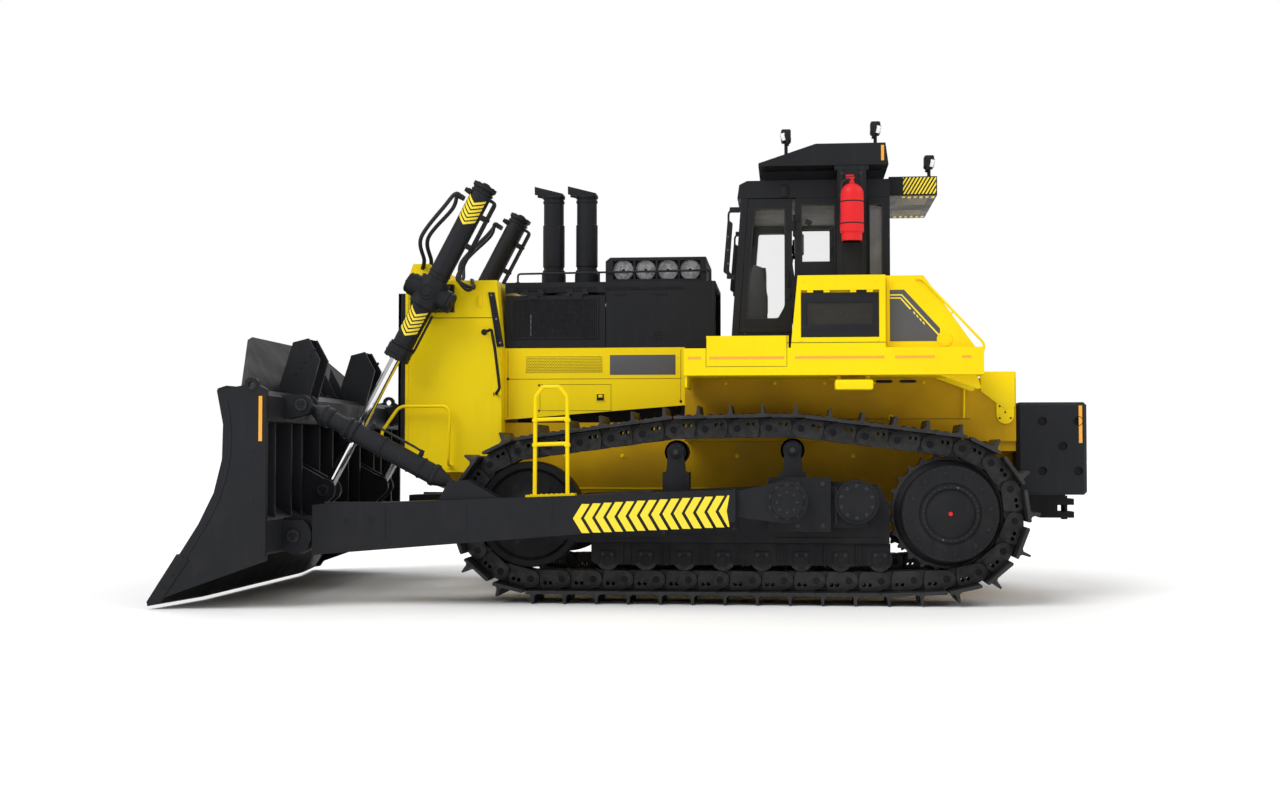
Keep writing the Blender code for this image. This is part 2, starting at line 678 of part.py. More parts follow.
def rear_end():
    half = SHOE_OUT - 0.14
    y0 = BOX_REAR + 0.005
    outline = [
        (y0, FENDER_TOP + GAP), (FENDER_REAR - 0.06, FENDER_TOP + GAP), (FENDER_REAR - 0.13, 2.60),
        (y0 + 0.37, TANK_TOP), (y0, TANK_TOP),
    ]
    tank = prism(outline, -half, half)
    cab_clear = block(-1.3, 1.3, y0 - 0.1, CAB_REAR + 0.02, 2.4, 3.4)
    middle = block(-DECK_HALF + 0.2, DECK_HALF - 0.2, CAB_REAR + 0.03, FENDER_REAR - 0.03, DECK_Z + GAP, 2.6)
    piece("fuel_tank", YELLOW, joined(cut(tank, cab_clear), middle))
    rear = SPROCKET_Y + 1.434
    half = DECK_HALF
    solid = block(-half, half, HULL_REAR + GAP, rear, 1.06, 1.99, 0.03)
    hollows = []
    for y, z in ((0.25, 1.80), (0.25, 1.30), (0.45, 1.55), (0.60, 1.80), (0.60, 1.30)):
        hollow = rod((half - 0.04, HULL_REAR + y, z), (half + 0.1, HULL_REAR + y, z), 0.045, 12)
        hollows += [hollow, mirrored(hollow)]
    piece("counterweight", BLACK, cut(solid, *hollows))
    back = SPROCKET_Y + 1.4392
    bar = block(-0.20, 0.20, HULL_REAR + 0.12, back - 0.10, 0.86, 1.06 - GAP)
    jaws = block(-0.14, 0.14, back - 0.35, back, 0.80, 1.00)
    slot = block(-0.2, 0.2, back - 0.18, back + 0.1, 0.865, 0.935)
    pin = rod((0, back - 0.08, 0.78), (0, back - 0.08, 1.03), 0.035)
    piece("drawbar", BLACK, joined(cut(joined(bar, jaws), slot), pin))


def cab():
    wide = CAB_HALF
    low = block(-0.75 + GAP, 0.75 - GAP, CAB_FRONT, CAB_REAR, DECK_Z + GAP, CAB_FLOOR_Z - 0.05)
    high = block(-wide, wide, CAB_FRONT, CAB_REAR, FENDER_TOP + GAP, CAB_FLOOR_Z)
    pedestal = block(-0.30, 0.30, CAB_FRONT + 0.14, CAB_FRONT + 0.34, CAB_FLOOR_Z - 0.02, CAB_FLOOR_Z + 0.75)
    piece("cab_floor", BLACK, joined(low, high, pedestal))
    z0 = CAB_FLOOR_Z + GAP
    z1 = CAB_TOP - GAP
    behind = CAB_FRONT + 0.07
    front = prism(
        [(CAB_FRONT, z0), (behind, z0), (behind + CAB_LEAN, z1), (CAB_FRONT + CAB_LEAN, z1)], -wide, wide
    )
    pane = block(0.03, 0.86, CAB_FRONT - 0.2, CAB_FRONT + 0.4, CAB_FLOOR_Z + 0.12, CAB_TOP - 0.10)
    front = cut(front, mirrored(pane), pane)
    piece("cab_front", BLACK, front)
    inner = wide - CAB_WALL
    rear = block(-inner + GAP, inner - GAP, CAB_REAR - CAB_WALL, CAB_REAR, z0, z1)
    rear = cut(rear, block(-0.72, 0.72, CAB_REAR - 0.2, CAB_REAR + 0.1, 3.30, 3.96))
    piece("cab_rear", BLACK, rear)

    door_rear = CAB_FRONT + 0.65
    wall = block(inner, wide, door_rear, CAB_REAR, z0, z1)
    for y0, y1, low in ((0.71, 1.06, 3.42), (1.39, 1.54, 2.95)):
        wall = cut(wall, block(0.8, 1.1, CAB_FRONT + y0, CAB_FRONT + y1, low, 4.02))
    radius = 0.012
    axis = (wide + radius, door_rear - radius, 0)
    pair_of_bodies("cab_door", axis)
    front_low = CAB_FRONT + 0.07 + DOOR_GAP
    back = axis[1] - radius - DOOR_GAP
    sill = z0 + DOOR_GAP
    head = z1 - DOOR_GAP
    leaf = prism([(front_low, sill), (back, sill), (back, head), (front_low + CAB_LEAN, head)], inner, wide)
    frame = 0.07
    way = prism(
        [
            (front_low + frame, 2.85), (back - 0.14, 2.85), (back - frame, 2.98), (back - frame, 3.98),
            (front_low + CAB_LEAN + frame - 0.01, 3.98),
        ],
        0.8, 1.1,
    )
    leaf, lugs = hinge(
        cut(leaf, way), axis, 2, (2.95, 3.75), radius,
        lambda a, b: block(wide - 0.02, axis[0], axis[1] - 0.04, axis[1], a, b),
        lambda a, b: block(wide - 0.02, axis[0], axis[1], axis[1] + 0.05, a, b),
    )
    pair("cab_side", BLACK, joined(wall, *lugs))
    pair("cab_door", BLACK, leaf, "cab_door")
    roof_top = 4.27
    roof = prism(
        [(CAB_FRONT + 0.06, CAB_TOP), (CAB_REAR, CAB_TOP), (CAB_REAR, roof_top), (CAB_FRONT + 0.16, roof_top),
         (CAB_FRONT + 0.08, roof_top - 0.04)],
        -wide - 0.005, wide + 0.005,
    )
    spacer = block(-0.8, 0.8, CAB_FRONT + 0.32, CAB_REAR - 0.06, roof_top - 0.01, ROPS_BOTTOM - GAP)
    piece("cab_roof", BLACK, joined(roof, spacer))
    rops(wide)


def lamp(x, y, foot, top):
    """A round-cornered work lamp on a stalk, looking along Y."""
    stalk = rod((x, y, foot), (x, y, top - 0.08), 0.018, 8)
    head = block(x - 0.07, x + 0.07, y - 0.05, y + 0.05, top - 0.13, top, 0.012)
    return joined(stalk, head)


def rops(wide):
    post_in = wide + 0.012
    post_out = post_in + POST_WIDTH
    outline = [
        (CAB_FRONT + 0.28, ROPS_BOTTOM), (CAB_REAR - 0.02, ROPS_BOTTOM), (CAB_REAR - 0.05, ROPS_TOP),
        (CAB_FRONT + 0.86, ROPS_TOP), (CAB_FRONT + 0.28, ROPS_BOTTOM + 0.03),
    ]
    solid = prism(outline, -post_out - 0.01, post_out + 0.01)
    post = block(post_in, post_out, POST_FRONT, POST_FRONT + POST_DEPTH, FENDER_TOP + GAP, ROPS_BOTTOM + 0.02)
    front_lamp = lamp(0.88, CAB_FRONT + 0.56, ROPS_BOTTOM + 0.05, 4.80)
    rear_lamp = lamp(0.88, CAB_REAR - 0.14, ROPS_TOP - 0.02, 4.865)
    parts = [post, front_lamp, rear_lamp]
    piece("rops_frame", BLACK, joined(solid, *parts, *[mirrored(part) for part in parts]))
    centre = Vector((post_out + GAP + 0.13, POST_FRONT + POST_DEPTH / 2 - 0.005, 3.60))
    profile = [
        (0, 0), (0, 0.10), (0.07, 0.12), (0.50, 0.12), (0.58, 0.06), (0.60, 0.03), (0.67, 0.03), (0.67, 0)
    ]
    bottle = turned(profile, centre, (0, 0, 1), 20)
    x, y, z = centre
    bracket = block(post_out + GAP, x, y - 0.05, y + 0.05, z + 0.05, z + 0.35)
    piece("fire_extinguisher", RED, joined(bottle, bracket))
    front = CAB_REAR + GAP
    shelf = block(-0.80, 0.80, front, front + 0.49, 4.12, 4.316)
    shelf_lamp = lamp(0.65, front + 0.42, 4.30, 4.55)
    piece("rear_shelf", BLACK, joined(shelf, shelf_lamp, mirrored(shelf_lamp)))


def seat():
    y0 = CAB_FRONT + 0.62
    floor = CAB_FLOOR_Z + GAP
    base = block(-0.24, 0.24, y0 + 0.05, y0 + 0.50, floor, floor + 0.36)
    console = block(0.25, 0.40, y0 - 0.05, y0 + 0.50, floor + 0.28, floor + 0.62)
    bridge = block(-0.38, 0.38, y0 + 0.10, y0 + 0.45, floor + 0.29, floor + 0.35)
    piece("operator_seat", BLACK, joined(base, bridge, console, mirrored(console)))
    z = floor + 0.36 + GAP
    piece("seat_cushion", FABRIC, block(-0.235, 0.235, y0, y0 + 0.46, z, z + 0.13, 0.02))
    back = prism(
        [(y0 + 0.46 + GAP, z), (y0 + 0.59, z), (y0 + 0.70, z + 0.75), (y0 + 0.60, z + 0.75)], -0.23, 0.23, 0.0
    )
    piece("seat_backrest", FABRIC, back)


# ---------------------------------------------------------------- blade, arms and cylinders


def mold_point(angle, offset=0.0):
    """A point on the moldboard's face, by angle above its deepest line, offset to the rear."""
    centre = MOLD_DEEPEST - MOLD_RADIUS
    radius = MOLD_RADIUS + offset
    return Vector((centre + radius * math.cos(angle), MOLD_Z + radius * math.sin(angle)))


def foot_point(down, back):
    """A point on the moldboard's straight foot: this far down its face, and this far behind it."""
    along = Vector((-math.sin(EDGE_ANGLE), -math.cos(EDGE_ANGLE)))
    behind = Vector((math.cos(EDGE_ANGLE), -math.sin(EDGE_ANGLE)))
    return mold_point(-EDGE_ANGLE) + along * down + behind * back


def swept(profile, stations):
    """The (y, z) profile lofted along X through (x, rearward offset) stations."""
    bm = bmesh.new()
    rows = [[bm.verts.new((x, y + shift, z)) for y, z in profile] for x, shift in stations]
    bm.faces.new(rows[0])
    bm.faces.new(rows[-1])
    for a, b in zip(rows, rows[1:]):
        for i in range(len(profile)):
            j = (i + 1) % len(profile)
            bm.faces.new((a[i], a[j], b[j], b[i]))
    return shape(bm)


def blade_stations(half):
    """The blade's plan: straight in the middle, with its wings swept forward to the ends."""
    at_end = WING_SWEEP * (BLADE_HALF - half) / (BLADE_HALF - WING_KNEE)
    return [(-half, at_end), (-WING_KNEE, WING_SWEEP), (WING_KNEE, WING_SWEEP), (half, at_end)]


def spill_guard():
    """The raised plate over the middle of the moldboard, leaning forward."""
    foot = mold_point(math.asin((MOLD_TOP - 0.05 - MOLD_Z) / MOLD_RADIUS), 0.04)
    foot.x += WING_SWEEP
    bm = bmesh.new()
    rows = []
    for x, y, z in ((SPILL_FOOT, foot.x, foot.y), (SPILL_TOP, MOLD_DEEPEST - 0.29, BLADE_TOP)):
        for dy, dz in ((0, 0), (0.05, 0.03)):
            rows.append([bm.verts.new((s * x, y + dy, z + dz)) for s in (-1, 1)])
    (a0, a1), (b0, b1), (c0, c1), (d0, d1) = rows
    for face in (
        (a0, a1, c1, c0), (b0, b1, d1, d0), (a0, b0, b1, a1), (c0, d0, d1, c1), (a0, c0, d0, b0),
        (a1, c1, d1, b1),
    ):
        bm.faces.new(face)
    return shape(bm)


def blade():
    body("blade", BLADE_PIN, "push_arms")
    top = math.asin((MOLD_TOP - MOLD_Z) / MOLD_RADIUS)
    steps = 7
    angles = [-EDGE_ANGLE + (top + EDGE_ANGLE) * k / steps for k in range(steps + 1)]
    face = [foot_point(FOOT, 0)] + [mold_point(a) for a in angles]
    back = [mold_point(a, BLADE_SKIN) for a in angles[::-1]] + [foot_point(FOOT, BLADE_SKIN)]
    inner = BLADE_HALF - END_PLATE
    skin = swept(face + back, blade_stations(inner + 0.01))
    low_beam = [
        (MOLD_DEEPEST - 0.10, 0.72), (BLADE_REAR - 0.10, 0.50), (BLADE_REAR, 0.54), (BLADE_REAR, 0.84),
        (MOLD_DEEPEST + 0.22, 0.96), (MOLD_DEEPEST + 0.05, 1.00),
    ]
    high_beam = [
        (MOLD_DEEPEST + 0.06, 1.72), (BLADE_REAR, 1.78), (BLADE_REAR, 2.02), (BLADE_REAR - 0.10, 2.08),
        (MOLD_DEEPEST + 0.02, 2.05),
    ]
    beams = [prism(low_beam, -inner - 0.01, inner + 0.01), prism(high_beam, -inner - 0.01, inner + 0.01)]
    solid = joined(skin, spill_guard(), *beams)
    half = ARM_EYE_WIDTH / 2 + EYE_PLAY
    pocket = cross_rod(ARM_X - half, ARM_X + half, BLADE_PIN, ARM_EYE + 0.02)
    solid = cut(solid, mirrored(pocket), pocket)
    parts = [end_plate(), *rod_guard(), *clevises(half)]
    piece("blade", BLACK, joined(solid, *parts, *[mirrored(part) for part in parts]), "blade")

    length = (foot_point(0, 0).y - EDGE_CLEARANCE) / math.cos(EDGE_ANGLE)
    profile = [
        foot_point(FOOT + GAP, BLADE_SKIN * 0.7), foot_point(FOOT + GAP, -0.01),
        foot_point(length - 0.03, -0.01),
        foot_point(length, 0.02), foot_point(length - 0.04, BLADE_SKIN * 0.6),
    ]
    piece("cutting_edge", STEEL, swept(profile, blade_stations(BLADE_HALF)), "blade")


def end_plate():
    """Closes the end of the blade, with a lifting eye on its top corner."""
    eye = (BLADE_REAR - 0.15, 2.12)
    behind = BLADE_SKIN * 0.7 + 0.012
    top = math.asin((MOLD_TOP - 0.02 - MOLD_Z) / MOLD_RADIUS)
    steps = 4
    face = [mold_point(top + (-EDGE_ANGLE - top) * k / steps, 0.01) for k in range(steps + 1)]
    outline = [
        foot_point(0.80, behind), (BLADE_REAR - 0.12, 0.42), (BLADE_REAR - 0.002, 0.46),
        (BLADE_REAR - 0.002, 2.08),
        *arc(eye, 0.075, 0, 180, 6), *face, foot_point(FOOT - 0.01, 0.01), foot_point(FOOT - 0.01, behind),
    ]
    plate = prism(outline, BLADE_HALF - END_PLATE, BLADE_HALF - EDGE_PROUD)
    return cut(plate, cross_rod(BLADE_HALF - 0.2, BLADE_HALF + 0.1, Vector((0, *eye)), 0.035, 12))


def rod_guard():
    """Two plates and a cap behind the top of the blade, over the lift rod."""
    outline = [
        (MOLD_DEEPEST + 0.06, 2.02), (BLADE_REAR - 0.18, 2.62), (BLADE_REAR - 0.02, BLADE_TOP),
        (BLADE_REAR + 0.10, 2.44), (BLADE_REAR - 0.02, 2.00),
    ]
    plates = [prism(outline, LIFT_X + x, LIFT_X + x + 0.04) for x in (-0.17, 0.13)]
    outline = [(0.19, 0.045), (0.03, 0.005), (0.06, 0.060), (0.20, 0.090)]
    cap = prism([(BLADE_REAR - y, BLADE_TOP - z) for y, z in outline], LIFT_X - 0.15, LIFT_X + 0.15)
    return [*plates, cap]


def clevises(half):
    """The blade's ears for the lift rod, the push arm and the tilt cylinder, with the arm's pin."""
    parts = []
    inner = 0.085
    outline = [
        (MOLD_DEEPEST + 0.20, 0.86), (BLADE_REAR - 0.02, 0.80), *arc(ROD_PIN.yz, 0.12, -60, 90, 6),
        (MOLD_DEEPEST + 0.20, 1.42),
    ]
    for s in (-1, 1):
        outer = LIFT_X + s * (inner + CHEEK)
        ear = prism(outline, LIFT_X + s * inner, outer)
        boss = cross_rod(outer - s * 0.01, outer + s * 0.02, ROD_PIN, 0.07, 12)
        parts += [ear, boss]
    outline = [
        (BLADE_REAR - 0.05, 0.56), *arc(BLADE_PIN.yz, 0.176, -90, 60, 8), (BLADE_REAR - 0.05, 0.83),
    ]
    for s in (-1, 1):
        parts.append(prism(outline, ARM_X + s * half, ARM_X + s * (half + CHEEK)))
    parts.append(cross_rod(ARM_X - half - CHEEK + 0.01, ARM_X + half + CHEEK + 0.02, BLADE_PIN, ARM_PIN, 24))
    outline = [
        (BLADE_REAR - 0.05, 1.80), *arc(BRACE_FRONT.yz, 0.10, -70, 90, 6), (BLADE_REAR - 0.05, 2.04),
    ]
    for s in (-1, 1):
        parts.append(prism(outline, ARM_X + s * 0.08, ARM_X + s * 0.12))
        parts.append(cross_rod(ARM_X + s * 0.115, ARM_X + s * 0.135, BRACE_FRONT, 0.06, 12))
    return parts


def push_arms():
    body("push_arms", TRUNNION)
    front = BLADE_PIN.y + 0.185
    rear = TRUNNION.y - 0.49
    top_front = Vector((front, 0.975))
    top_rear = Vector((rear, 1.128))
    half = ARM_EYE_WIDTH / 2
    arm = prism([(front, 0.492), (rear, 0.826), top_rear, top_front], ARM_IN, ARM_OUT)
    outline = [(front + 0.05, 0.60), (front + 0.05, 0.86), *arc(BLADE_PIN.yz, ARM_EYE, 80, 280, 14)]
    nose = prism(outline, ARM_X - half, ARM_X + half)
    outline = [(rear - 0.05, 1.10), (rear - 0.05, 0.88), *arc(TRUNNION.yz, 0.20, -100, 100, 14)]
    tail = prism(outline, ARM_X - half, ARM_X + half)
    y, z = BRACE_REAR.yz
    outline = [(y - 0.20, 1.0), (y - 0.10, z + 0.07), (y + 0.08, z + 0.09), (y + 0.42, 1.03)]
    cheeks = [prism(outline, ARM_X + s * 0.075, ARM_X + s * 0.115) for s in (-1, 1)]
    pin = cross_rod(ARM_X - 0.10, ARM_X + 0.10, BRACE_REAR, BRACE_PIN, 16)
    arm = joined(arm, nose, tail, *cheeks, pin)
    for centre, radius, segments in ((BLADE_PIN, ARM_PIN, 24), (TRUNNION, TRUNNION_RADIUS, 28)):
        arm = cut(arm, cross_rod(ARM_X - 0.3, ARM_X + 0.3, centre, radius + PIN_PLAY, segments))
    pair("push_arm", BLACK, arm, "push_arms")

    slope = (top_rear.y - top_front.y) / (top_rear.x - top_front.x)

    def on_arm(at, above):
        return (at, top_front.y + (at - front) * slope + above)

    y0 = IDLER_Y + 0.12
    y1 = y0 + 0.32
    pad = prism(
        [on_arm(y0 - 0.08, GAP), on_arm(y1 + 0.08, GAP), on_arm(y1 + 0.08, 0.02), on_arm(y0 - 0.08, 0.02)],
        ARM_X - 0.07, ARM_X + 0.07,
    )
    tube = 0.02
    top = 2.12
    corners = [
        on_arm(y0, 0.01), (y0 + 0.005, top - 0.10), (y0 + 0.08, top), (y1 - 0.08, top),
        (y1 - 0.005, top - 0.10), on_arm(y1, 0.01),
    ]
    bars = [rod((ARM_X, *a), (ARM_X, *b), tube, 8) for a, b in zip(corners, corners[1:])]
    rung = rod((ARM_X, y0 + 0.003, 1.56), (ARM_X, y1 - 0.003, 1.57), tube, 8)
    pair("boarding_rail", YELLOW, joined(pad, *bars, rung), "push_arms")


def cylinders():
    """The lift cylinder, and the tilt cylinder that braces the blade's top from the push arm."""
    pivot = Vector((LIFT_X, *LIFT_PIVOT.yz))
    eye = Vector((LIFT_X, *ROD_PIN.yz))
    down = (eye - pivot).normalized()
    pair_of_bodies("lift_barrel", pivot)
    bore = LIFT_ROD + ROD_PLAY
    head = LIFT_BELOW - 0.14
    end = LIFT_ABOVE - 0.025
    profile = [
        (-LIFT_ABOVE, 0), (-LIFT_ABOVE, LIFT_BARREL), (-COLLAR, LIFT_BARREL), (-COLLAR, COLLAR),
        (COLLAR, COLLAR), (COLLAR, LIFT_BARREL), (head, LIFT_BARREL), (head, 0.135), (LIFT_BELOW, 0.135),
        (LIFT_BELOW, bore), (-end, bore), (-end, 0),
    ]
    barrel = turned(profile, pivot, down, 20)
    pad = cross_rod(LIFT_X - COLLAR, LIFT_X - 0.09, LIFT_PIVOT, 0.12)
    socket = cross_rod(LIFT_X - 0.3, LIFT_X - 0.080, LIFT_PIVOT, YOKE_PIN + PIN_PLAY)
    pair("lift_barrel", BLACK, cut(joined(barrel, pad), socket), "lift_barrel")
    pair_of_bodies("lift_rod", eye, "lift_barrel")
    shaft = rod(eye - down * LIFT_ROD_LENGTH, eye, LIFT_ROD, 20)
    knob = cross_rod(LIFT_X - 0.08, LIFT_X + 0.08, ROD_PIN, LIFT_EYE)
    pair("lift_rod", CHROME, joined(shaft, knob), "lift_rod")

    pivot = Vector((ARM_X, *BRACE_REAR.yz))
    eye = Vector((ARM_X, *BRACE_FRONT.yz))
    ahead = (eye - pivot).normalized()
    reach = (eye - pivot).length
    pair_of_bodies("brace_barrel", pivot, "push_arms")
    end = reach - BRACE_HEAD - BRACE_STROKE / 2
    bore = BRACE_ROD + ROD_PLAY
    profile = [
        (0.02, 0), (0.02, 0.05), (0.13, 0.05), (0.26, BRACE_RADIUS), (end, BRACE_RADIUS), (end, bore),
        (0.35, bore), (0.35, 0),
    ]
    tail = cross_rod(ARM_X - 0.065, ARM_X + 0.065, BRACE_REAR, 0.08)
    hole = cross_rod(ARM_X - 0.2, ARM_X + 0.2, BRACE_REAR, BRACE_PIN + PIN_PLAY, 16)
    barrel = cut(joined(turned(profile, pivot, ahead, 20), tail), hole)
    pair("brace_barrel", BLACK, barrel, "brace_barrel")
    pair_of_bodies("brace_rod", eye, "brace_barrel")
    start = end - reach - BRACE_STROKE * 1.3
    profile = [
        (start, 0), (start, BRACE_ROD), (-BRACE_HEAD, BRACE_ROD), (-BRACE_HEAD, BRACE_RADIUS),
        (-0.20, BRACE_RADIUS), (-0.10, 0.05), (-0.02, 0.05), (-0.02, 0),
    ]
    knob = cross_rod(ARM_X - 0.07, ARM_X + 0.07, BRACE_FRONT, 0.075)
    pair("brace_rod", BLACK, joined(turned(profile, eye, ahead, 20), knob), "brace_rod")


def main():
    clear_scene()
    hull()
    undercarriage()
    radiator_guard()
    engine()
    fender()
    rear_end()
    cab()
    seat()
    push_arms()
    blade()
    cylinders()


main()
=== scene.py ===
"""The looks of a large crawler bulldozer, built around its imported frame.

Metres, +Z up. The machine faces -Y and its left side is +X. Each group of pieces has its own function; the
left ones are built and the right ones mirrored from them.
"""

import json
import math

import bmesh
import bpy
from mathutils import Matrix, Vector

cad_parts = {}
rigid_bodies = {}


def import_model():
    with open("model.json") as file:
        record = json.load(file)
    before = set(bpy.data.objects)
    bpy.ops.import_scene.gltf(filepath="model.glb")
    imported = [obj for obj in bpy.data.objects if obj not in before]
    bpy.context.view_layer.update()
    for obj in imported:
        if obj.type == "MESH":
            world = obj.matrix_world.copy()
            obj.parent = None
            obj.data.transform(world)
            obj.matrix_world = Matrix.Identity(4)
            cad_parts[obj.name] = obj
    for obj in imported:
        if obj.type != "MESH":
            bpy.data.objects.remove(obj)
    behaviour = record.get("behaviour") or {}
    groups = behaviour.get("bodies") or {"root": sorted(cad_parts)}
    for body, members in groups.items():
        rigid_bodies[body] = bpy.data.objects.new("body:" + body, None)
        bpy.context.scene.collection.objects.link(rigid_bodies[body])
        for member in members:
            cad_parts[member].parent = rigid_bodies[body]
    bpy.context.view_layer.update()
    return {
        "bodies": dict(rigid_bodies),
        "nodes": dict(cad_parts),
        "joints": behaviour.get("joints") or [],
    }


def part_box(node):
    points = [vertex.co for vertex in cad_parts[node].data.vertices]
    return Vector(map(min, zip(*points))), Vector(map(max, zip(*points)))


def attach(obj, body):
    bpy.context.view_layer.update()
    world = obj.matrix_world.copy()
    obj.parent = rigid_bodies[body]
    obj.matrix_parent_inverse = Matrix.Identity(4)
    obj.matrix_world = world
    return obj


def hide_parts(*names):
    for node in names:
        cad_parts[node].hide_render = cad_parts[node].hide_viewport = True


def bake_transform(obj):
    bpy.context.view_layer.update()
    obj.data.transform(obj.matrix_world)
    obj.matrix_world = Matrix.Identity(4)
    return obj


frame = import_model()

BOX = {name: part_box(name) for name in frame["nodes"]}
X = Vector((1, 0, 0))
UP = (0, 0, 1)

CAB_SIDE = 0.95  # the cab's and the hull's side face
ARM_X = 1.99  # the middle of a push arm, its pins and its tilt cylinder
FRAME_HALF_X = 0.24  # half the width of a track frame
REFLECTOR_Z = 2.405
ROOF_TOP = 4.61
PIVOT_SHAFT = Vector((0, 2.186, 1.009))
TILT_REAR = Vector((ARM_X, -1.642, 1.13))  # the tilt cylinder's pin on the arm
TILT_FRONT = Vector((ARM_X, -3.189, 1.95))  # and on the blade
BLADE_REAR = -3.365
MOULD_CENTRE, MOULD_RADIUS = (-5.295, 1.62), 1.565  # the curve of the blade's face
BLADE_HALF = 2.6325  # half the blade's width
SWEEP_START = 1.60  # outside this the blade's wings are swept to the front
SHARP_ANGLE = math.radians(33)  # past this an edge is shaded sharp
BEVEL_ANGLE = math.radians(28)  # past this an edge is bevelled
WORLD_LIGHT = 0.52
CAMERA_PLACE, CAMERA_LENS = (17.37, 1.55, 1.46), 45.14
CAMERA_YAW, CAMERA_RISE = math.radians(5.34), math.radians(1.96)


def pivot_of(joint):
    """Where a joint's axis passes, in the row frame."""
    return Vector(next(j["pos_m"] for j in frame["joints"] if j["name"] == joint))


def centre_of(node):
    low, high = BOX[node]
    return (low + high) / 2


# ---------------------------------------------------------------- finishes


class Finish:
    """A node material, read in object space, which is the row frame's metres."""

    def __init__(self, name, roughness, metallic=0.0):
        self.material = bpy.data.materials.new(name)
        self.material.use_nodes = True
        self.tree = self.material.node_tree
        self.shader = self.tree.nodes["Principled BSDF"]
        self.shader.inputs["Roughness"].default_value = roughness
        self.shader.inputs["Metallic"].default_value = metallic
        self.where = self.add("ShaderNodeTexCoord").outputs["Object"]
        self.height = None

    def add(self, kind, **values):
        made = self.tree.nodes.new(kind)
        for key, value in values.items():
            if hasattr(made, key):
                setattr(made, key, value)
            else:
                made.inputs[key.replace("_", " ")].default_value = value
        return made

    def link(self, source, node, socket):
        self.tree.links.new(source, node.inputs[socket])

    def noise(self, scale, detail=3.0, stretch=None):
        made = self.add("ShaderNodeTexNoise", Scale=scale, Detail=detail)
        where = self.where
        if stretch:
            mapped = self.add("ShaderNodeMapping", Scale=stretch)
            self.link(where, mapped, "Vector")
            where = mapped.outputs["Vector"]
        self.link(where, made, "Vector")
        return made.outputs["Fac"]

    def spread(self, source, low, high, out_low=0.0, out_high=1.0):
        made = self.add("ShaderNodeMapRange", interpolation_type="SMOOTHSTEP")
        for socket, value in zip(("From Min", "From Max", "To Min", "To Max"), (low, high, out_low, out_high)):
            made.inputs[socket].default_value = value
        self.link(source, made, "Value")
        return made.outputs["Result"]

    def maths(self, operation, a, b):
        made = self.add("ShaderNodeMath", operation=operation)
        for socket, value in enumerate((a, b)):
            if isinstance(value, (int, float)):
                made.inputs[socket].default_value = value
            else:
                self.link(value, made, socket)
        return made.outputs[0]

    def mix(self, share, first, second):
        made = self.add("ShaderNodeMix", data_type="RGBA")
        self.link(share, made, 0)
        for socket, value in ((6, first), (7, second)):
            if isinstance(value, tuple):
                made.inputs[socket].default_value = (*value, 1)
            else:
                self.link(value, made, socket)
        return made.outputs[2]

    def edges(self, radius):
        """1 on corners and 0 on flats, from how far a softened normal leans off the true one."""
        soft = self.add("ShaderNodeBevel", samples=4, Radius=radius)
        true = self.add("ShaderNodeNewGeometry").outputs["Normal"]
        dot = self.add("ShaderNodeVectorMath", operation="DOT_PRODUCT")
        self.link(soft.outputs["Normal"], dot, 0)
        self.link(true, dot, 1)
        return self.spread(dot.outputs["Value"], 0.98, 0.80)

    def bump(self, source, depth, strength=1.0):
        """Adds a bump of this depth in metres, over any bump already there."""
        made = self.add("ShaderNodeBump", Strength=strength, Distance=depth)
        self.link(source, made, "Height")
        if self.height:
            self.link(self.height, made, "Normal")
        self.height = made.outputs["Normal"]

    def rough(self, source, low, high):
        self.link(self.spread(source, 0.3, 0.7, low, high), self.shader, "Roughness")

    def done(self, colour):
        if isinstance(colour, tuple):
            self.shader.inputs["Base Color"].default_value = (*colour, 1)
        else:
            self.link(colour, self.shader, "Base Color")
        if self.height:
            self.link(self.height, self.shader, "Normal")
        return self.material


def paint(name, light, dark, chipped, roughness, dust_and_shade, grit=0.00025):
    """Sprayed paint: broad uneven tone, an orange-peel skin, darkening low down and worn corners. The darkening low
    down is dust, and on the hull's darker copy its larger amount is also painted shade.
    """
    made = Finish(name, roughness)
    made.shader.inputs["Specular IOR Level"].default_value = 0.16
    tone = made.mix(made.spread(made.noise(0.9, 4), 0.35, 0.65), light, dark)
    low = made.add("ShaderNodeSeparateXYZ")
    made.link(made.where, low, "Vector")
    ground = made.spread(low.outputs["Z"], 1.6, 0.1)
    patches = made.spread(made.noise(5.5, 6), 0.42, 0.72)
    # darker towards the bottom in patches: dust, and on the hull's darker copy partly painted shade
    tone = made.mix(made.maths("MULTIPLY", made.maths("MULTIPLY", ground, patches), dust_and_shade), tone, (0.17, 0.14, 0.11))
    breaks = made.spread(made.noise(38, 5), 0.50, 0.62)
    worn = made.maths("MULTIPLY", made.maths("MULTIPLY", made.edges(0.005), breaks), 0.55)
    tone = made.mix(worn, tone, chipped)
    streaks = made.spread(made.noise(14, 4, (1, 1, 0.12)), 0.50, 0.85)
    tone = made.mix(made.maths("MULTIPLY", streaks, 0.10), tone, chipped)
    made.rough(made.noise(3.2, 5), roughness - 0.05, roughness + 0.12)
    made.bump(made.noise(420, 2), grit, 0.5)
    made.bump(made.noise(9, 2), 0.0012, 0.25)
    return made.done(tone)


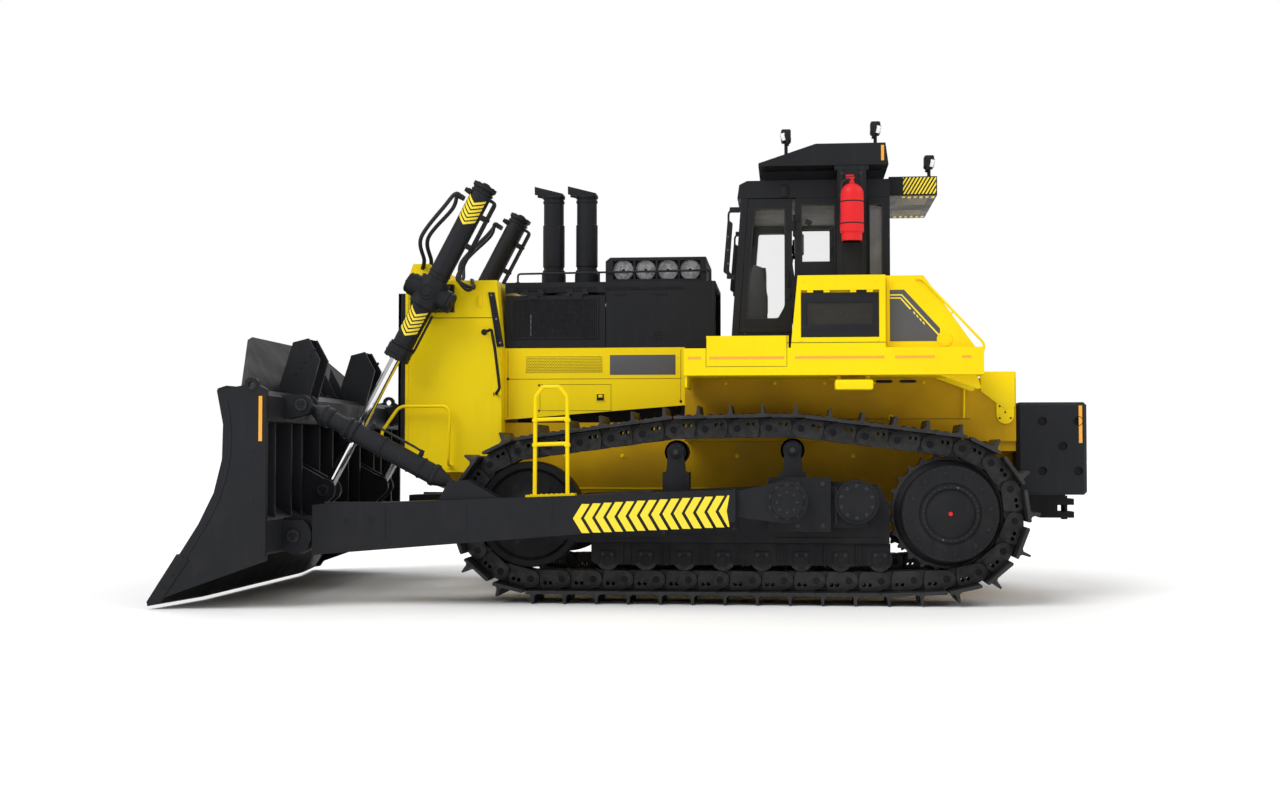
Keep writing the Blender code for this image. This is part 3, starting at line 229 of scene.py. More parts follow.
def steel(name, light, dark, roughness, metallic=0.75):
    """Rolled and forged steel: mill scale, rubbed edges and fine pits."""
    made = Finish(name, roughness, metallic)
    scale = made.spread(made.noise(7, 8), 0.35, 0.65)
    tone = made.mix(scale, light, dark)
    tone = made.mix(made.maths("MULTIPLY", made.edges(0.004), made.spread(made.noise(30, 4), 0.35, 0.6)), tone,
                    tuple(min(1, 3.2 * c) for c in light))
    soil = made.maths("MULTIPLY", made.spread(made.noise(2.6, 7), 0.5, 0.75), 0.35)
    tone = made.mix(soil, tone, (0.060, 0.052, 0.043))
    made.rough(made.noise(22, 6), roughness - 0.1, roughness + 0.2)
    made.bump(made.noise(160, 5), 0.0006, 0.6)
    return made.done(tone)


def chrome():
    made = Finish("hard_chrome", 0.08, 1.0)
    made.rough(made.noise(180, 3, (1, 0.04, 0.04)), 0.05, 0.16)
    made.bump(made.noise(600, 2, (1, 0.03, 0.03)), 0.00003, 0.4)
    oily = made.spread(made.noise(4, 3), 0.5, 0.8)
    return made.done(made.mix(made.maths("MULTIPLY", oily, 0.3), (0.82, 0.82, 0.84), (0.55, 0.53, 0.50)))


def rubber(name):
    """Hose cover: dull black with a cloth-wrapped skin."""
    made = Finish(name, 0.62)
    made.shader.inputs["Specular IOR Level"].default_value = 0.35
    wrap = made.add("ShaderNodeTexWave", Scale=90.0, Distortion=1.5, Detail=1.0)
    made.link(made.where, wrap, "Vector")
    made.bump(wrap.outputs["Fac"], 0.0004, 0.5)
    made.rough(made.noise(12, 4), 0.52, 0.72)
    return made.done(made.mix(made.spread(made.noise(6, 4), 0.4, 0.7), (0.012, 0.012, 0.013), (0.024, 0.023, 0.022)))


def reflector():
    """Orange retroreflective tape with its fine honeycomb cells."""
    made = Finish("orange_tape", 0.22)
    cells = made.add("ShaderNodeTexVoronoi", Scale=260.0, feature="DISTANCE_TO_EDGE")
    made.link(made.where, cells, "Vector")
    line = made.spread(cells.outputs["Distance"], 0.0, 0.06)
    made.bump(line, 0.0004, 0.6)
    made.shader.inputs["Coat Weight"].default_value = 0.6
    return made.done(made.mix(line, (0.62, 0.22, 0.01), (0.93, 0.42, 0.025)))


def decal(name, light, dark):
    made = Finish(name, 0.38)
    made.rough(made.noise(25, 3), 0.32, 0.46)
    made.bump(made.noise(300, 2), 0.0001, 0.4)
    scuffs = made.spread(made.noise(60, 5, (1, 1, 0.3)), 0.62, 0.74)
    return made.done(made.mix(scuffs, light, dark))


def glass():
    made = Finish("cab_glass", 0.03)
    made.shader.inputs["IOR"].default_value = 1.45
    made.shader.inputs["Alpha"].default_value = 0.05
    made.rough(made.noise(8, 4), 0.02, 0.07)
    made.bump(made.noise(1.5, 1), 0.002, 0.1)
    return made.done(made.mix(made.noise(2, 2), (0.16, 0.18, 0.18), (0.22, 0.24, 0.24)))


def dark_glass():
    made = Finish("box_glass", 0.08)
    made.shader.inputs["Alpha"].default_value = 0.62
    made.rough(made.noise(9, 4), 0.05, 0.16)
    made.bump(made.noise(40, 2), 0.0003, 0.2)
    return made.done(made.mix(made.noise(3, 3), (0.020, 0.019, 0.018), (0.050, 0.045, 0.035)))


def lens():
    """Clear lamp glass over a ribbed bright reflector."""
    made = Finish("lamp_lens", 0.08)
    ribs = made.add("ShaderNodeTexWave", Scale=60.0, Distortion=0.0)
    made.link(made.where, ribs, "Vector")
    made.bump(ribs.outputs["Fac"], 0.001, 0.5)
    made.rough(made.noise(30, 2), 0.05, 0.14)
    made.shader.inputs["Coat Weight"].default_value = 0.8
    return made.done(made.mix(ribs.outputs["Fac"], (0.72, 0.74, 0.76), (0.95, 0.96, 0.97)))


def fabric():
    """Woven seat cloth: crossed threads, a soft sheen and a little fading."""
    made = Finish("seat_cloth", 0.88)
    made.shader.inputs["Sheen Weight"].default_value = 0.35
    threads = []
    for turn in ((0, 0, 0.785), (0, 0, -0.785)):
        mapped = made.add("ShaderNodeMapping", Rotation=turn)
        made.link(made.where, mapped, "Vector")
        wave = made.add("ShaderNodeTexWave", Scale=150.0, Distortion=0.6, Detail=1.0)
        made.link(mapped.outputs["Vector"], wave, "Vector")
        threads.append(wave.outputs["Fac"])
    weave = made.maths("MAXIMUM", *threads)
    made.bump(weave, 0.0006, 0.8)
    made.rough(made.noise(20, 3), 0.80, 0.95)
    tone = made.mix(weave, (0.022, 0.022, 0.024), (0.075, 0.075, 0.080))
    return made.done(made.mix(made.maths("MULTIPLY", made.spread(made.noise(3, 3), 0.45, 0.8), 0.4), tone,
                              (0.10, 0.095, 0.09)))


def moulded(name, light, dark, roughness=0.55):
    """Grained plastic."""
    made = Finish(name, roughness)
    made.rough(made.noise(15, 3), roughness - 0.08, roughness + 0.1)
    cells = made.add("ShaderNodeTexVoronoi", Scale=420.0)
    made.link(made.where, cells, "Vector")
    made.bump(cells.outputs["Distance"], 0.0003, 0.5)
    return made.done(made.mix(made.spread(made.noise(4, 4), 0.35, 0.7), light, dark))


def floor_finish():
    made = Finish("studio_floor", 0.85)
    made.shader.inputs["Specular IOR Level"].default_value = 0.1
    made.rough(made.noise(0.4, 3), 0.8, 0.92)
    return made.done(made.mix(made.noise(0.15, 2), (0.93, 0.93, 0.93), (0.95, 0.95, 0.95)))


# painted shade: a darker, more orange copy of the yellow paint, with more of the low-down darkening, standing in for
# the shade on the hull under the fenders
SHADED = paint("shaded_yellow_finish", (0.62, 0.36, 0.002), (0.44, 0.25, 0.002), (0.30, 0.18, 0.01), 0.50, 0.10)
YELLOW = paint("yellow_paint_finish", (0.94, 0.700, 0.002), (0.90, 0.655, 0.002), (0.60, 0.42, 0.02), 0.40, 0.04)
BLACK = paint("charcoal_paint_finish", (0.0150, 0.0158, 0.0190), (0.0125, 0.0132, 0.0158), (0.050, 0.052, 0.058),
              0.44, 0.03)
IRON = paint("casting_finish", (0.0130, 0.0136, 0.0160), (0.0090, 0.0095, 0.0112), (0.045, 0.046, 0.050),
             0.50, 0.06, 0.0012)
RED = paint("red_paint_finish", (0.78, 0.024, 0.030), (0.70, 0.020, 0.024), (0.35, 0.06, 0.05), 0.30, 0.0)
# painted shade: a near-black skin laid in slots, seams, holes and behind grilles and louvres where only shadow would
# show; a few dark cab faces use it too
PIT = moulded("shadowed_recess", (0.004, 0.004, 0.0045), (0.007, 0.007, 0.008), 0.85)
SCREEN = steel("mesh_screen_finish", (0.30, 0.30, 0.31), (0.18, 0.18, 0.185), 0.42)
# painted highlight: a lighter charcoal for bolt heads and pin-cap rings than the castings they sit on, standing in
# for the highlights on them
HIGHLIT_BOLT = paint("bolt_painted_highlight", (0.034, 0.035, 0.040), (0.026, 0.027, 0.031), (0.12, 0.12, 0.125), 0.34, 0.03)
TRACK = steel("track_steel_finish", (0.018, 0.0185, 0.021), (0.011, 0.0115, 0.013), 0.48, 0.15)
RUBBED = steel("rubbed_steel_finish", (0.26, 0.26, 0.27), (0.12, 0.12, 0.125), 0.34, 0.9)
CHROME = chrome()
HOSE = rubber("hose_rubber")
TAPE = reflector()
ARROW = decal("arrow_yellow", (0.93, 0.73, 0.03), (0.70, 0.54, 0.03))
PANEL_GREY = decal("decal_grey", (0.075, 0.075, 0.080), (0.11, 0.11, 0.112))
GLASS = glass()
SMOKED = dark_glass()
LENS = lens()
CLOTH = fabric()
PLASTIC = moulded("cab_plastic", (0.026, 0.026, 0.028), (0.040, 0.040, 0.042))
TRIM_GREY = moulded("cab_trim_grey", (0.20, 0.20, 0.205), (0.27, 0.27, 0.275), 0.7)
FLOOR = floor_finish()


# ---------------------------------------------------------------- shapes


def turns_of(count):
    """Angles evenly round a circle."""
    return [2 * math.pi * k / count for k in range(count)]


def square_to(axis):
    """An axis at unit length, and the two directions across it."""
    axis = Vector(axis).normalized()
    side = (axis.cross(X) if abs(axis.x) < 0.9 else Vector(UP)).normalized()
    return axis, side, axis.cross(side)


def out_at(turn):
    """The direction across X at an angle from +Y towards +Z."""
    return Vector((0, math.cos(turn), math.sin(turn)))


def ring(shape, centre, side, up, radius, segments):
    return [shape.verts.new(centre + (side * math.cos(t) + up * math.sin(t)) * radius) for t in turns_of(segments)]


def skin(shape, rows):
    """Faces between each ring of vertices and the next. A ring of one vertex is a pole."""
    count = max(len(row) for row in rows)
    for a, b in zip(rows, rows[1:]):
        for k in range(count):
            j = (k + 1) % count
            corners = (a[k % len(a)], a[j % len(a)], b[j % len(b)], b[k % len(b)])
            shape.faces.new(list(dict.fromkeys(corners)))


class Piece:
    """Closed shapes, each with its own finish, gathered into one mesh."""

    def __init__(self, name):
        self.name = name
        self.mesh = bmesh.new()
        self.finishes = []
        self.place = Matrix.Identity(4)

    def add(self, shape, finish):
        if finish not in self.finishes:
            self.finishes.append(finish)
        bmesh.ops.recalc_face_normals(shape, faces=shape.faces)
        for face in shape.faces:
            face.material_index = self.finishes.index(finish)
        shape.transform(self.place)
        passing = bpy.data.meshes.new("passing")
        shape.to_mesh(passing)
        shape.free()
        self.mesh.from_mesh(passing)
        bpy.data.meshes.remove(passing)

    def prism(self, outline, low, high, finish, bevel=0.0):
        """The (y, z) outline, extruded along X between low and high, given in either order."""
        low, high = sorted((low, high))
        shape = bmesh.new()
        near = [shape.verts.new((low, y, z)) for y, z in outline]
        far = [shape.verts.new((high, y, z)) for y, z in outline]
        shape.faces.new(near)
        shape.faces.new(far)
        for i in range(len(outline)):
            j = (i + 1) % len(outline)
            shape.faces.new((near[i], near[j], far[j], far[i]))
        if bevel:
            bmesh.ops.recalc_face_normals(shape, faces=shape.faces)
            hard = [e for e in shape.edges if e.calc_face_angle(0) > BEVEL_ANGLE]
            bmesh.ops.bevel(shape, geom=hard, offset=bevel, segments=2, profile=0.6, affect="EDGES",
                            clamp_overlap=True)
        self.add(shape, finish)

    def block(self, x0, x1, y0, y1, z0, z1, finish, bevel=0.0):
        y0, y1 = sorted((y0, y1))
        self.prism([(y0, z0), (y1, z0), (y1, z1), (y0, z1)], x0, x1, finish, bevel)

    def turned(self, profile, origin, axis, finish, segments=24):
        """A solid of revolution from (distance along the axis, radius) points."""
        axis, side, up = square_to(axis)
        shape = bmesh.new()
        skin(shape, [ring(shape, Vector(origin) + axis * along, side, up, radius, segments if radius else 1)
                     for along, radius in profile])
        self.add(shape, finish)

    def disc(self, origin, axis, radius, height, finish, segments=24, chamfer=0.004):
        chamfer = min(chamfer, height * 0.45)
        profile = [(0, 0), (0, radius), (height - chamfer, radius), (height, radius - chamfer), (height, 0)]
        self.turned(profile, origin, axis, finish, segments)

    def washer(self, origin, axis, outer, inner, height, finish, segments=32):
        """A flat ring, closed on itself."""
        axis, side, up = square_to(axis)
        soft = height * 0.3
        profile = [(0, inner), (0, outer), (height - soft, outer), (height, outer - soft), (height, inner)]
        shape = bmesh.new()
        rows = [ring(shape, Vector(origin) + axis * along, side, up, radius, segments) for along, radius in profile]
        skin(shape, rows + rows[:1])
        self.add(shape, finish)

    def bolt(self, origin, axis, radius, finish, washer=True):
        """A hexagon head on its washer."""
        # painted highlight: bolts on castings take the lighter charcoal
        if finish is IRON:
            finish = HIGHLIT_BOLT
        if washer:
            self.turned([(0, 0), (0, radius * 1.45), (radius * 0.2, radius * 1.4), (radius * 0.2, 0)], origin, axis,
                        finish, 12)
        top = radius * 0.85
        self.turned([(0, 0), (0, radius), (top * 0.8, radius), (top, radius * 0.85), (top, 0)], origin, axis,
                    finish, 6)

    def ring_of_bolts(self, centre, axis, circle, count, radius, finish, washer=True):
        axis, side, up = square_to(axis)
        for t in turns_of(count):
            self.bolt(Vector(centre) + (side * math.cos(t) + up * math.sin(t)) * circle, axis, radius, finish, washer)

    def tube(self, points, radius, finish, segments=10):
        """A round bar along points, kept from twisting."""
        points = [Vector(p) for p in points]
        ways = []
        for i in range(len(points)):
            before = points[max(i - 1, 0)]
            after = points[min(i + 1, len(points) - 1)]
            ways.append((after - before).normalized())
        side = ways[0].orthogonal().normalized()
        shape = bmesh.new()
        rows = []
        for i, (point, way) in enumerate(zip(points, ways)):
            side = (side - way * side.dot(way)).normalized()
            up = way.cross(side)
            stretch = 1.0
            if 0 < i < len(points) - 1:
                stretch = 1 / max(0.6, math.cos(ways[i].angle(points[i + 1] - points[i])))
            rows.append(ring(shape, point, side, up, radius * stretch, segments))
        shape.faces.new(rows[0])
        shape.faces.new(rows[-1])
        skin(shape, rows)
        self.add(shape, finish)

    def pipe(self, corners, radius, finish, bend=0.06, segments=10):
        """A bent tube: straight runs between corners that are rounded to this radius."""
        self.tube(rounded(corners, bend), radius, finish, segments)

    def object(self):
        made_mesh = bpy.data.meshes.new(self.name)
        self.mesh.to_mesh(made_mesh)
        self.mesh.free()
        return dressed(self.name, made_mesh, self.finishes)


def linked(name, data):
    made = bpy.data.objects.new(name, data)
    bpy.context.scene.collection.objects.link(made)
    return made


def dressed(name, mesh, finishes):
    for finish in finishes:
        mesh.materials.append(finish)
    mesh.shade_smooth()
    mesh.set_sharp_from_angle(angle=SHARP_ANGLE)
    return linked(name, mesh)


def mirrored(piece, name):
    mesh = piece.data.copy()
    mesh.transform(Matrix.Diagonal((-1, 1, 1, 1)))
    mesh.flip_normals()
    return linked(name, mesh)


def rounded(corners, bend, steps=5):
    """Corner points with each inner corner turned into an arc-like curve."""
    corners = [Vector(c) for c in corners]
    points = [corners[0]]
    for before, corner, after in zip(corners, corners[1:], corners[2:]):
        reach = min(bend, (before - corner).length * 0.48, (after - corner).length * 0.48)
        start = corner + (before - corner).normalized() * reach
        end = corner + (after - corner).normalized() * reach
        for k in range(steps + 1):
            t = k / steps
            points.append(start * (1 - t) ** 2 + corner * 2 * t * (1 - t) + end * t * t)
    return points + [corners[-1]]


def flowing(points, steps=6):
    """A smooth curve through points, for hoses."""
    points = [Vector(p) for p in points]
    ends = [points[0] * 2 - points[1]] + points + [points[-1] * 2 - points[-2]]
    found = []
    for a, b, c, d in zip(ends, ends[1:], ends[2:], ends[3:]):
        for k in range(steps):
            t = k / steps
            found.append(0.5 * (2 * b + (c - a) * t + (2 * a - 5 * b + 4 * c - d) * t * t
                                + (3 * b - a - 3 * c + d) * t ** 3))
    return found + [points[-1]]


def arc(centre, radius, start, end, steps):
    """Points on an arc in the YZ plane, by angle in degrees from +Y towards +Z."""
    cy, cz = centre
    angles = [math.radians(start + (end - start) * k / steps) for k in range(steps + 1)]
    return [(cy + radius * math.cos(a), cz + radius * math.sin(a)) for a in angles]


def mounted(piece, body, slot, *replaced):
    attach(piece, body)
    if replaced:
        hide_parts(*replaced)
    return piece


def both_sides(build, name, body, slot, node=None):
    """Builds the left piece, mirrors it, and mounts each on its own side's body or on a shared one."""
    gathered = Piece(name + "_left")
    build(gathered)
    left = gathered.object()
    right = mirrored(left, name + "_right")
    for piece, side in ((left, "left"), (right, "right")):
        rider = body if body in frame["bodies"] else f"{body}_{side}"
        mounted(piece, rider, slot, *([f"{node}_{side}"] if node else []))


def single(build, name, body, slot, *replaced):
    gathered = Piece(name)
    build(gathered)
    return mounted(gathered.object(), body, slot, *replaced)


# ---------------------------------------------------------------- undercarriage

SPROCKET = Vector((0, centre_of("sprocket_left").y, centre_of("sprocket_left").z))
IDLER = Vector((0, centre_of("idler_left").y, centre_of("idler_left").z))
SHOE_IN, SHOE_OUT = BOX["track_left"][0].x, BOX["track_left"][1].x
TRACK_X = (SHOE_IN + SHOE_OUT) / 2
PIN_CIRCLE = 0.64
TIP = 0.23  # of the grousers, outside the line of the pins
PLATE_OUT = 0.135
RAIL = 0.09  # of the links, inside the line of the pins
PITCH = 0.3175
CARRIERS = [(SPROCKET.y - 2.647, 1.487), (SPROCKET.y - 1.504, 1.506)]


def tangent(a, b):
    """Where a belt leaves circle a and meets circle b, both on its left as it runs."""
    (ay, az, ar), (by, bz, br) = a, b
    reach = Vector((by - ay, bz - az))
    along = reach.normalized()
    right = Vector((along.y, -along.x))
    lean = (ar - br) / reach.length
    normal = along * lean + right * math.sqrt(1 - lean * lean)
    return Vector((ay, az)) + normal * ar, Vector((by, bz)) + normal * br, normal


def track_pins():
    """The pins of one track in the YZ plane, evenly spaced round idler, rollers and sprocket."""
    carrier = 0.132 + RAIL
    circles = [(IDLER.y, IDLER.z, PIN_CIRCLE), (SPROCKET.y - 0.66, TIP + 0.2, 0.2),
               (SPROCKET.y, SPROCKET.z, PIN_CIRCLE)]
    circles += [(y, z, carrier) for y, z in CARRIERS[::-1]]
    count = len(circles)
    legs = [tangent(circles[i], circles[(i + 1) % count]) for i in range(count)]
    points = []
    for i, (start, end, normal) in enumerate(legs):
        points += [start, end]
        cy, cz, radius = circles[(i + 1) % count]
        leave = legs[(i + 1) % count][2]
        turn = math.atan2(normal.x * leave.y - normal.y * leave.x, normal.dot(leave))
        first = math.atan2(normal.y, normal.x)
        steps = max(1, int(turn / math.radians(2)))
        for k in range(1, steps):
            angle = first + turn * k / steps
            points.append(Vector((cy + radius * math.cos(angle), cz + radius * math.sin(angle))))
    lengths = [(points[(i + 1) % len(points)] - points[i]).length for i in range(len(points))]
    shoes = round(sum(lengths) / PITCH)
    pins = []
    for k in range(shoes):
        left = sum(lengths) * k / shoes
        i = 0
        while left > lengths[i]:
            left -= lengths[i]
            i += 1
        pins.append(points[i].lerp(points[(i + 1) % len(points)], left / lengths[i] if lengths[i] else 0))
    return pins


def drilled(outline, low, high, holes):
    """A plate of this (y, z) outline with round (y, z, radius) holes through it, as a mesh."""
    plate = Piece("plate")
    plate.prism(outline, low, high, TRACK, 0.004)
    base = plate.object()
    for y, z, radius in holes:
        tool = Piece("tool")
        tool.turned([(-0.1, 0), (-0.1, radius), (0.1, radius), (0.1, 0)], ((low + high) / 2, y, z), X, PIT, 14)
        cutter = tool.object()
        modifier = base.modifiers.new("hole", "BOOLEAN")
        modifier.operation = "DIFFERENCE"
        modifier.object = cutter
        mesh = bpy.data.meshes.new_from_object(base.evaluated_get(bpy.context.evaluated_depsgraph_get()))
        base.modifiers.clear()
        base.data = mesh
        bpy.data.objects.remove(cutter)
    mesh = base.data
    bpy.data.objects.remove(base)
    return mesh


def shoe_template():
    """One shoe and its two links, with the pin at the origin, the next pin along +Y, and +Z out of the track."""
    shoe = Piece("shoe")
    half = (SHOE_OUT - SHOE_IN) / 2
    plate = [(-0.010, 0.104), (0.285, 0.100), (0.302, 0.106), (0.304, 0.126), (0.290, 0.134), (0.0, PLATE_OUT),
             (-0.012, 0.128)]
    shoe.prism(plate, -half, half, TRACK, 0.003)
    grouser = [(0.022, PLATE_OUT - 0.004), (0.040, 0.150), (0.048, TIP - 0.001), (0.069, TIP - 0.001), (0.077, 0.150),
               (0.108, PLATE_OUT - 0.004)]
    shoe.prism(grouser, -half, half, TRACK, 0.003)
    for side in (-1, 1):
        shoe.prism([(0.050, TIP - 0.020), (0.067, TIP - 0.020), (0.067, TIP - 0.0005), (0.050, TIP - 0.0005)],
                   side * half - 0.03 * side, side * 0.02, TRACK, 0.003)
        for along in (0.170, 0.262):
            for across in (0.062, 0.128):
                shoe.bolt((side * across, along, PLATE_OUT - 0.001), UP, 0.019, TRACK, False)
    outer = [*arc((PITCH, 0), 0.088, -85, 55, 8), (0.30, 0.098), (0.11, 0.098), (0.095, 0.02), (0.12, -RAIL),
             (0.20, -RAIL)]
    inner = [*arc((0, 0), 0.082, 120, 270, 8), (0.07, -RAIL), (0.21, -RAIL), (0.22, 0.02), (0.20, 0.098),
             (0.03, 0.098)]
    holes = [(0.150, 0.040, 0.020), (0.205, 0.040, 0.020)]
    pieces = []
    for side in (-1, 1):
        for outline, near, far in ((outer, 0.096, 0.139), (inner, 0.058, 0.100)):
            pieces.append(drilled(outline, side * near, side * far, holes))
        shoe.disc((side * 0.130, PITCH, 0), (side, 0, 0), 0.036, 0.012, IRON, 16)
    for mesh in pieces:
        shoe.mesh.from_mesh(mesh)
    shoe.turned([(-0.06, 0), (-0.06, 0.046), (0.06, 0.046), (0.06, 0)], (0, 0, 0), X, TRACK, 16)
    mesh = bpy.data.meshes.new("shoe")
    shoe.mesh.to_mesh(mesh)
    shoe.mesh.free()
    return mesh, shoe.finishes


def track_chain(piece):
    template, finishes = shoe_template()
    piece.finishes = finishes
    pins = track_pins()
    for i, pin in enumerate(pins):
        along = (pins[(i + 1) % len(pins)] - pin).normalized()
        out = Vector((along.y, -along.x))
        place = Matrix.Identity(4)
        place.col[0] = (-1, 0, 0, 0)
        place.col[1] = (0, along.x, along.y, 0)
        place.col[2] = (0, out.x, out.y, 0)
        place.col[3] = (TRACK_X, pin.x, pin.y, 1)
        mesh = template.copy()
        mesh.transform(place)
        piece.mesh.from_mesh(mesh)
        bpy.data.meshes.remove(mesh)


def sprocket(piece):
    """The toothed rim between the links, and the final drive's bolted cover outside it."""
    at = Vector((TRACK_X, SPROCKET.y, SPROCKET.z))
    pins = track_pins()
    nearest = min(pins, key=lambda p: abs(p.x - SPROCKET.y - PIN_CIRCLE) + abs(p.y - SPROCKET.z))
    first = math.atan2(nearest.y - SPROCKET.z, nearest.x - SPROCKET.y)
    step = 2 * math.asin(PITCH / 2 / PIN_CIRCLE) / 2
    teeth = round(2 * math.pi / step)
    rim = []
    for k in range(teeth):
        middle = first + 2 * math.pi / teeth * k
        for turn, radius in ((-0.46, 0.590), (-0.30, 0.552), (0.0, 0.540), (0.30, 0.552), (0.46, 0.590)):
            angle = middle + turn * 2 * math.pi / teeth
            rim.append((at.y + radius * math.cos(angle), at.z + radius * math.sin(angle)))
    piece.prism(rim, at.x - 0.045, at.x + 0.045, TRACK, 0.004)
    piece.turned([(-0.385, 0), (-0.385, 0.37), (-0.36, 0.40), (-0.15, 0.43), (-0.07, 0.50), (-0.05, 0.52),
                  (0.05, 0.52), (0.07, 0.50), (0.09, 0.462), (0.12, 0.452), (0.285, 0.440), (0.30, 0.455), (0.305, 0.464),
                  (0.365, 0.464), (0.378, 0.452), (0.380, 0.300), (0.372, 0.292), (0.372, 0.284), (0.388, 0.276),
                  (0.388, 0.242), (0.366, 0.234), (0.372, 0.200), (0.392, 0.090), (0.394, 0.0)], at, X, IRON, 72)
    face = at + X * 0.380
    for k in range(12):
        place = face + out_at(2 * math.pi * (k + 0.25) / 12) * 0.385
        piece.washer(place - X * 0.003, X, 0.034, 0.021, 0.006, IRON, 18)
        piece.turned([(0, 0), (0, 0.020), (0.004, 0.019), (0.004, 0)], place, X, PIT, 14)
    piece.ring_of_bolts(at + X * 0.387, X, 0.259, 30, 0.0085, IRON, False)
    piece.ring_of_bolts(at + X * 0.050, X, 0.487, 27, 0.014, IRON, False)
    piece.ring_of_bolts(face, X, 0.445, 36, 0.006, IRON, False)
    piece.disc(at + X * 0.391, X, 0.022, 0.008, RED, 6, 0.002)
    piece.washer(at + X * 0.390, X, 0.032, 0.024, 0.006, IRON, 18)
    for k in (1, 5):
        place = at + X * 0.387 + out_at(2 * math.pi * k / 8 + 0.5) * 0.259
        piece.disc(place, X, 0.008, 0.007, RUBBED, 10, 0.002)


def idler(piece):
    """A cast idler: two treads with a raised guide flange between them, and a lightened web."""
    at = Vector((TRACK_X, IDLER.y, IDLER.z))
    tread = (BOX["idler_left"][1].z - BOX["idler_left"][0].z) / 2
    web = [(-0.15, 0), (-0.15, 0.11), (-0.125, 0.13), (-0.105, 0.17), (-0.085, 0.30), (-0.095, 0.43), (-0.135, 0.46),
           (-0.135, tread - 0.012), (-0.125, tread - 0.002), (-0.060, tread - 0.002), (-0.05, tread - 0.001)]
    profile = web + [(-x, r) for x, r in web[::-1]]
    piece.turned(profile, at, X, IRON, 72)
    for side in (-1, 1):
        for turn in turns_of(6):
            place = at + X * side * 0.090 + out_at(turn) * 0.30
            piece.disc(place, (side, 0, 0), 0.050, 0.003, PIT, 20)
        piece.ring_of_bolts(at + X * side * 0.1495, (side, 0, 0), 0.085, 8, 0.009, IRON, False)


def bottom_rollers(piece):
    """Flanged rollers between two guard rails. Each roller's shaft ends in a bolted collar outside."""
    low, high = BOX["bottom_rollers_left"]
    first = IDLER.y + 0.78
    last = SPROCKET.y - 0.66
    z = low.z + 0.12
    for k in range(8):
        at = Vector((TRACK_X, first + (last - first) / 7 * k, z))
        half = [(-0.160, 0), (-0.160, 0.118), (-0.140, 0.119), (-0.135, 0.108), (-0.045, 0.108), (-0.04, 0.085)]
        piece.turned(half + [(-x, r) for x, r in half[::-1]], at, X, TRACK, 32)
        for side in (-1, 1):
            face = at + X * side * 0.199
            collar = [(at.y - 0.075, z + 0.075), (at.y + 0.075, z + 0.075), *arc((at.y, z), 0.075, 20, -200, 8)]
            outer = face.x + side * 0.016
            piece.prism(collar, face.x - side * 0.012, outer, IRON, 0.005)
            for dy in (-0.045, 0.045):
                piece.bolt((outer, at.y + dy, z + 0.045), (side, 0, 0), 0.012, IRON)
            piece.disc(face + X * side * 0.014, (side, 0, 0), 0.034, 0.010, IRON, 16)
    for side in (-1, 1):
        outer = TRACK_X + side * 0.199
        scallops = [(first - 0.16, high.z - 0.004), (last + 0.10, high.z - 0.004), (last + 0.10, low.z + 0.095)]
        for k in range(7, -1, -1):
            y = first + (last - first) / 7 * k
            scallops += [(y + 0.11, low.z + 0.06), (y + 0.06, low.z + 0.085), (y - 0.06, low.z + 0.085),
                         (y - 0.11, low.z + 0.06)]
        scallops += [(first - 0.16, low.z + 0.095)]
        piece.prism(scallops, TRACK_X + side * 0.160, outer, IRON, 0.003)
        for k in range(7):
            y = first + (last - first) / 7 * (k + 0.5)
            for dy in (-0.035, 0.035):
                piece.block(outer - side * 0.005, outer + side * 0.016, y + dy - 0.007, y + dy + 0.007,
                            low.z + 0.065, high.z - 0.01, IRON, 0.003)


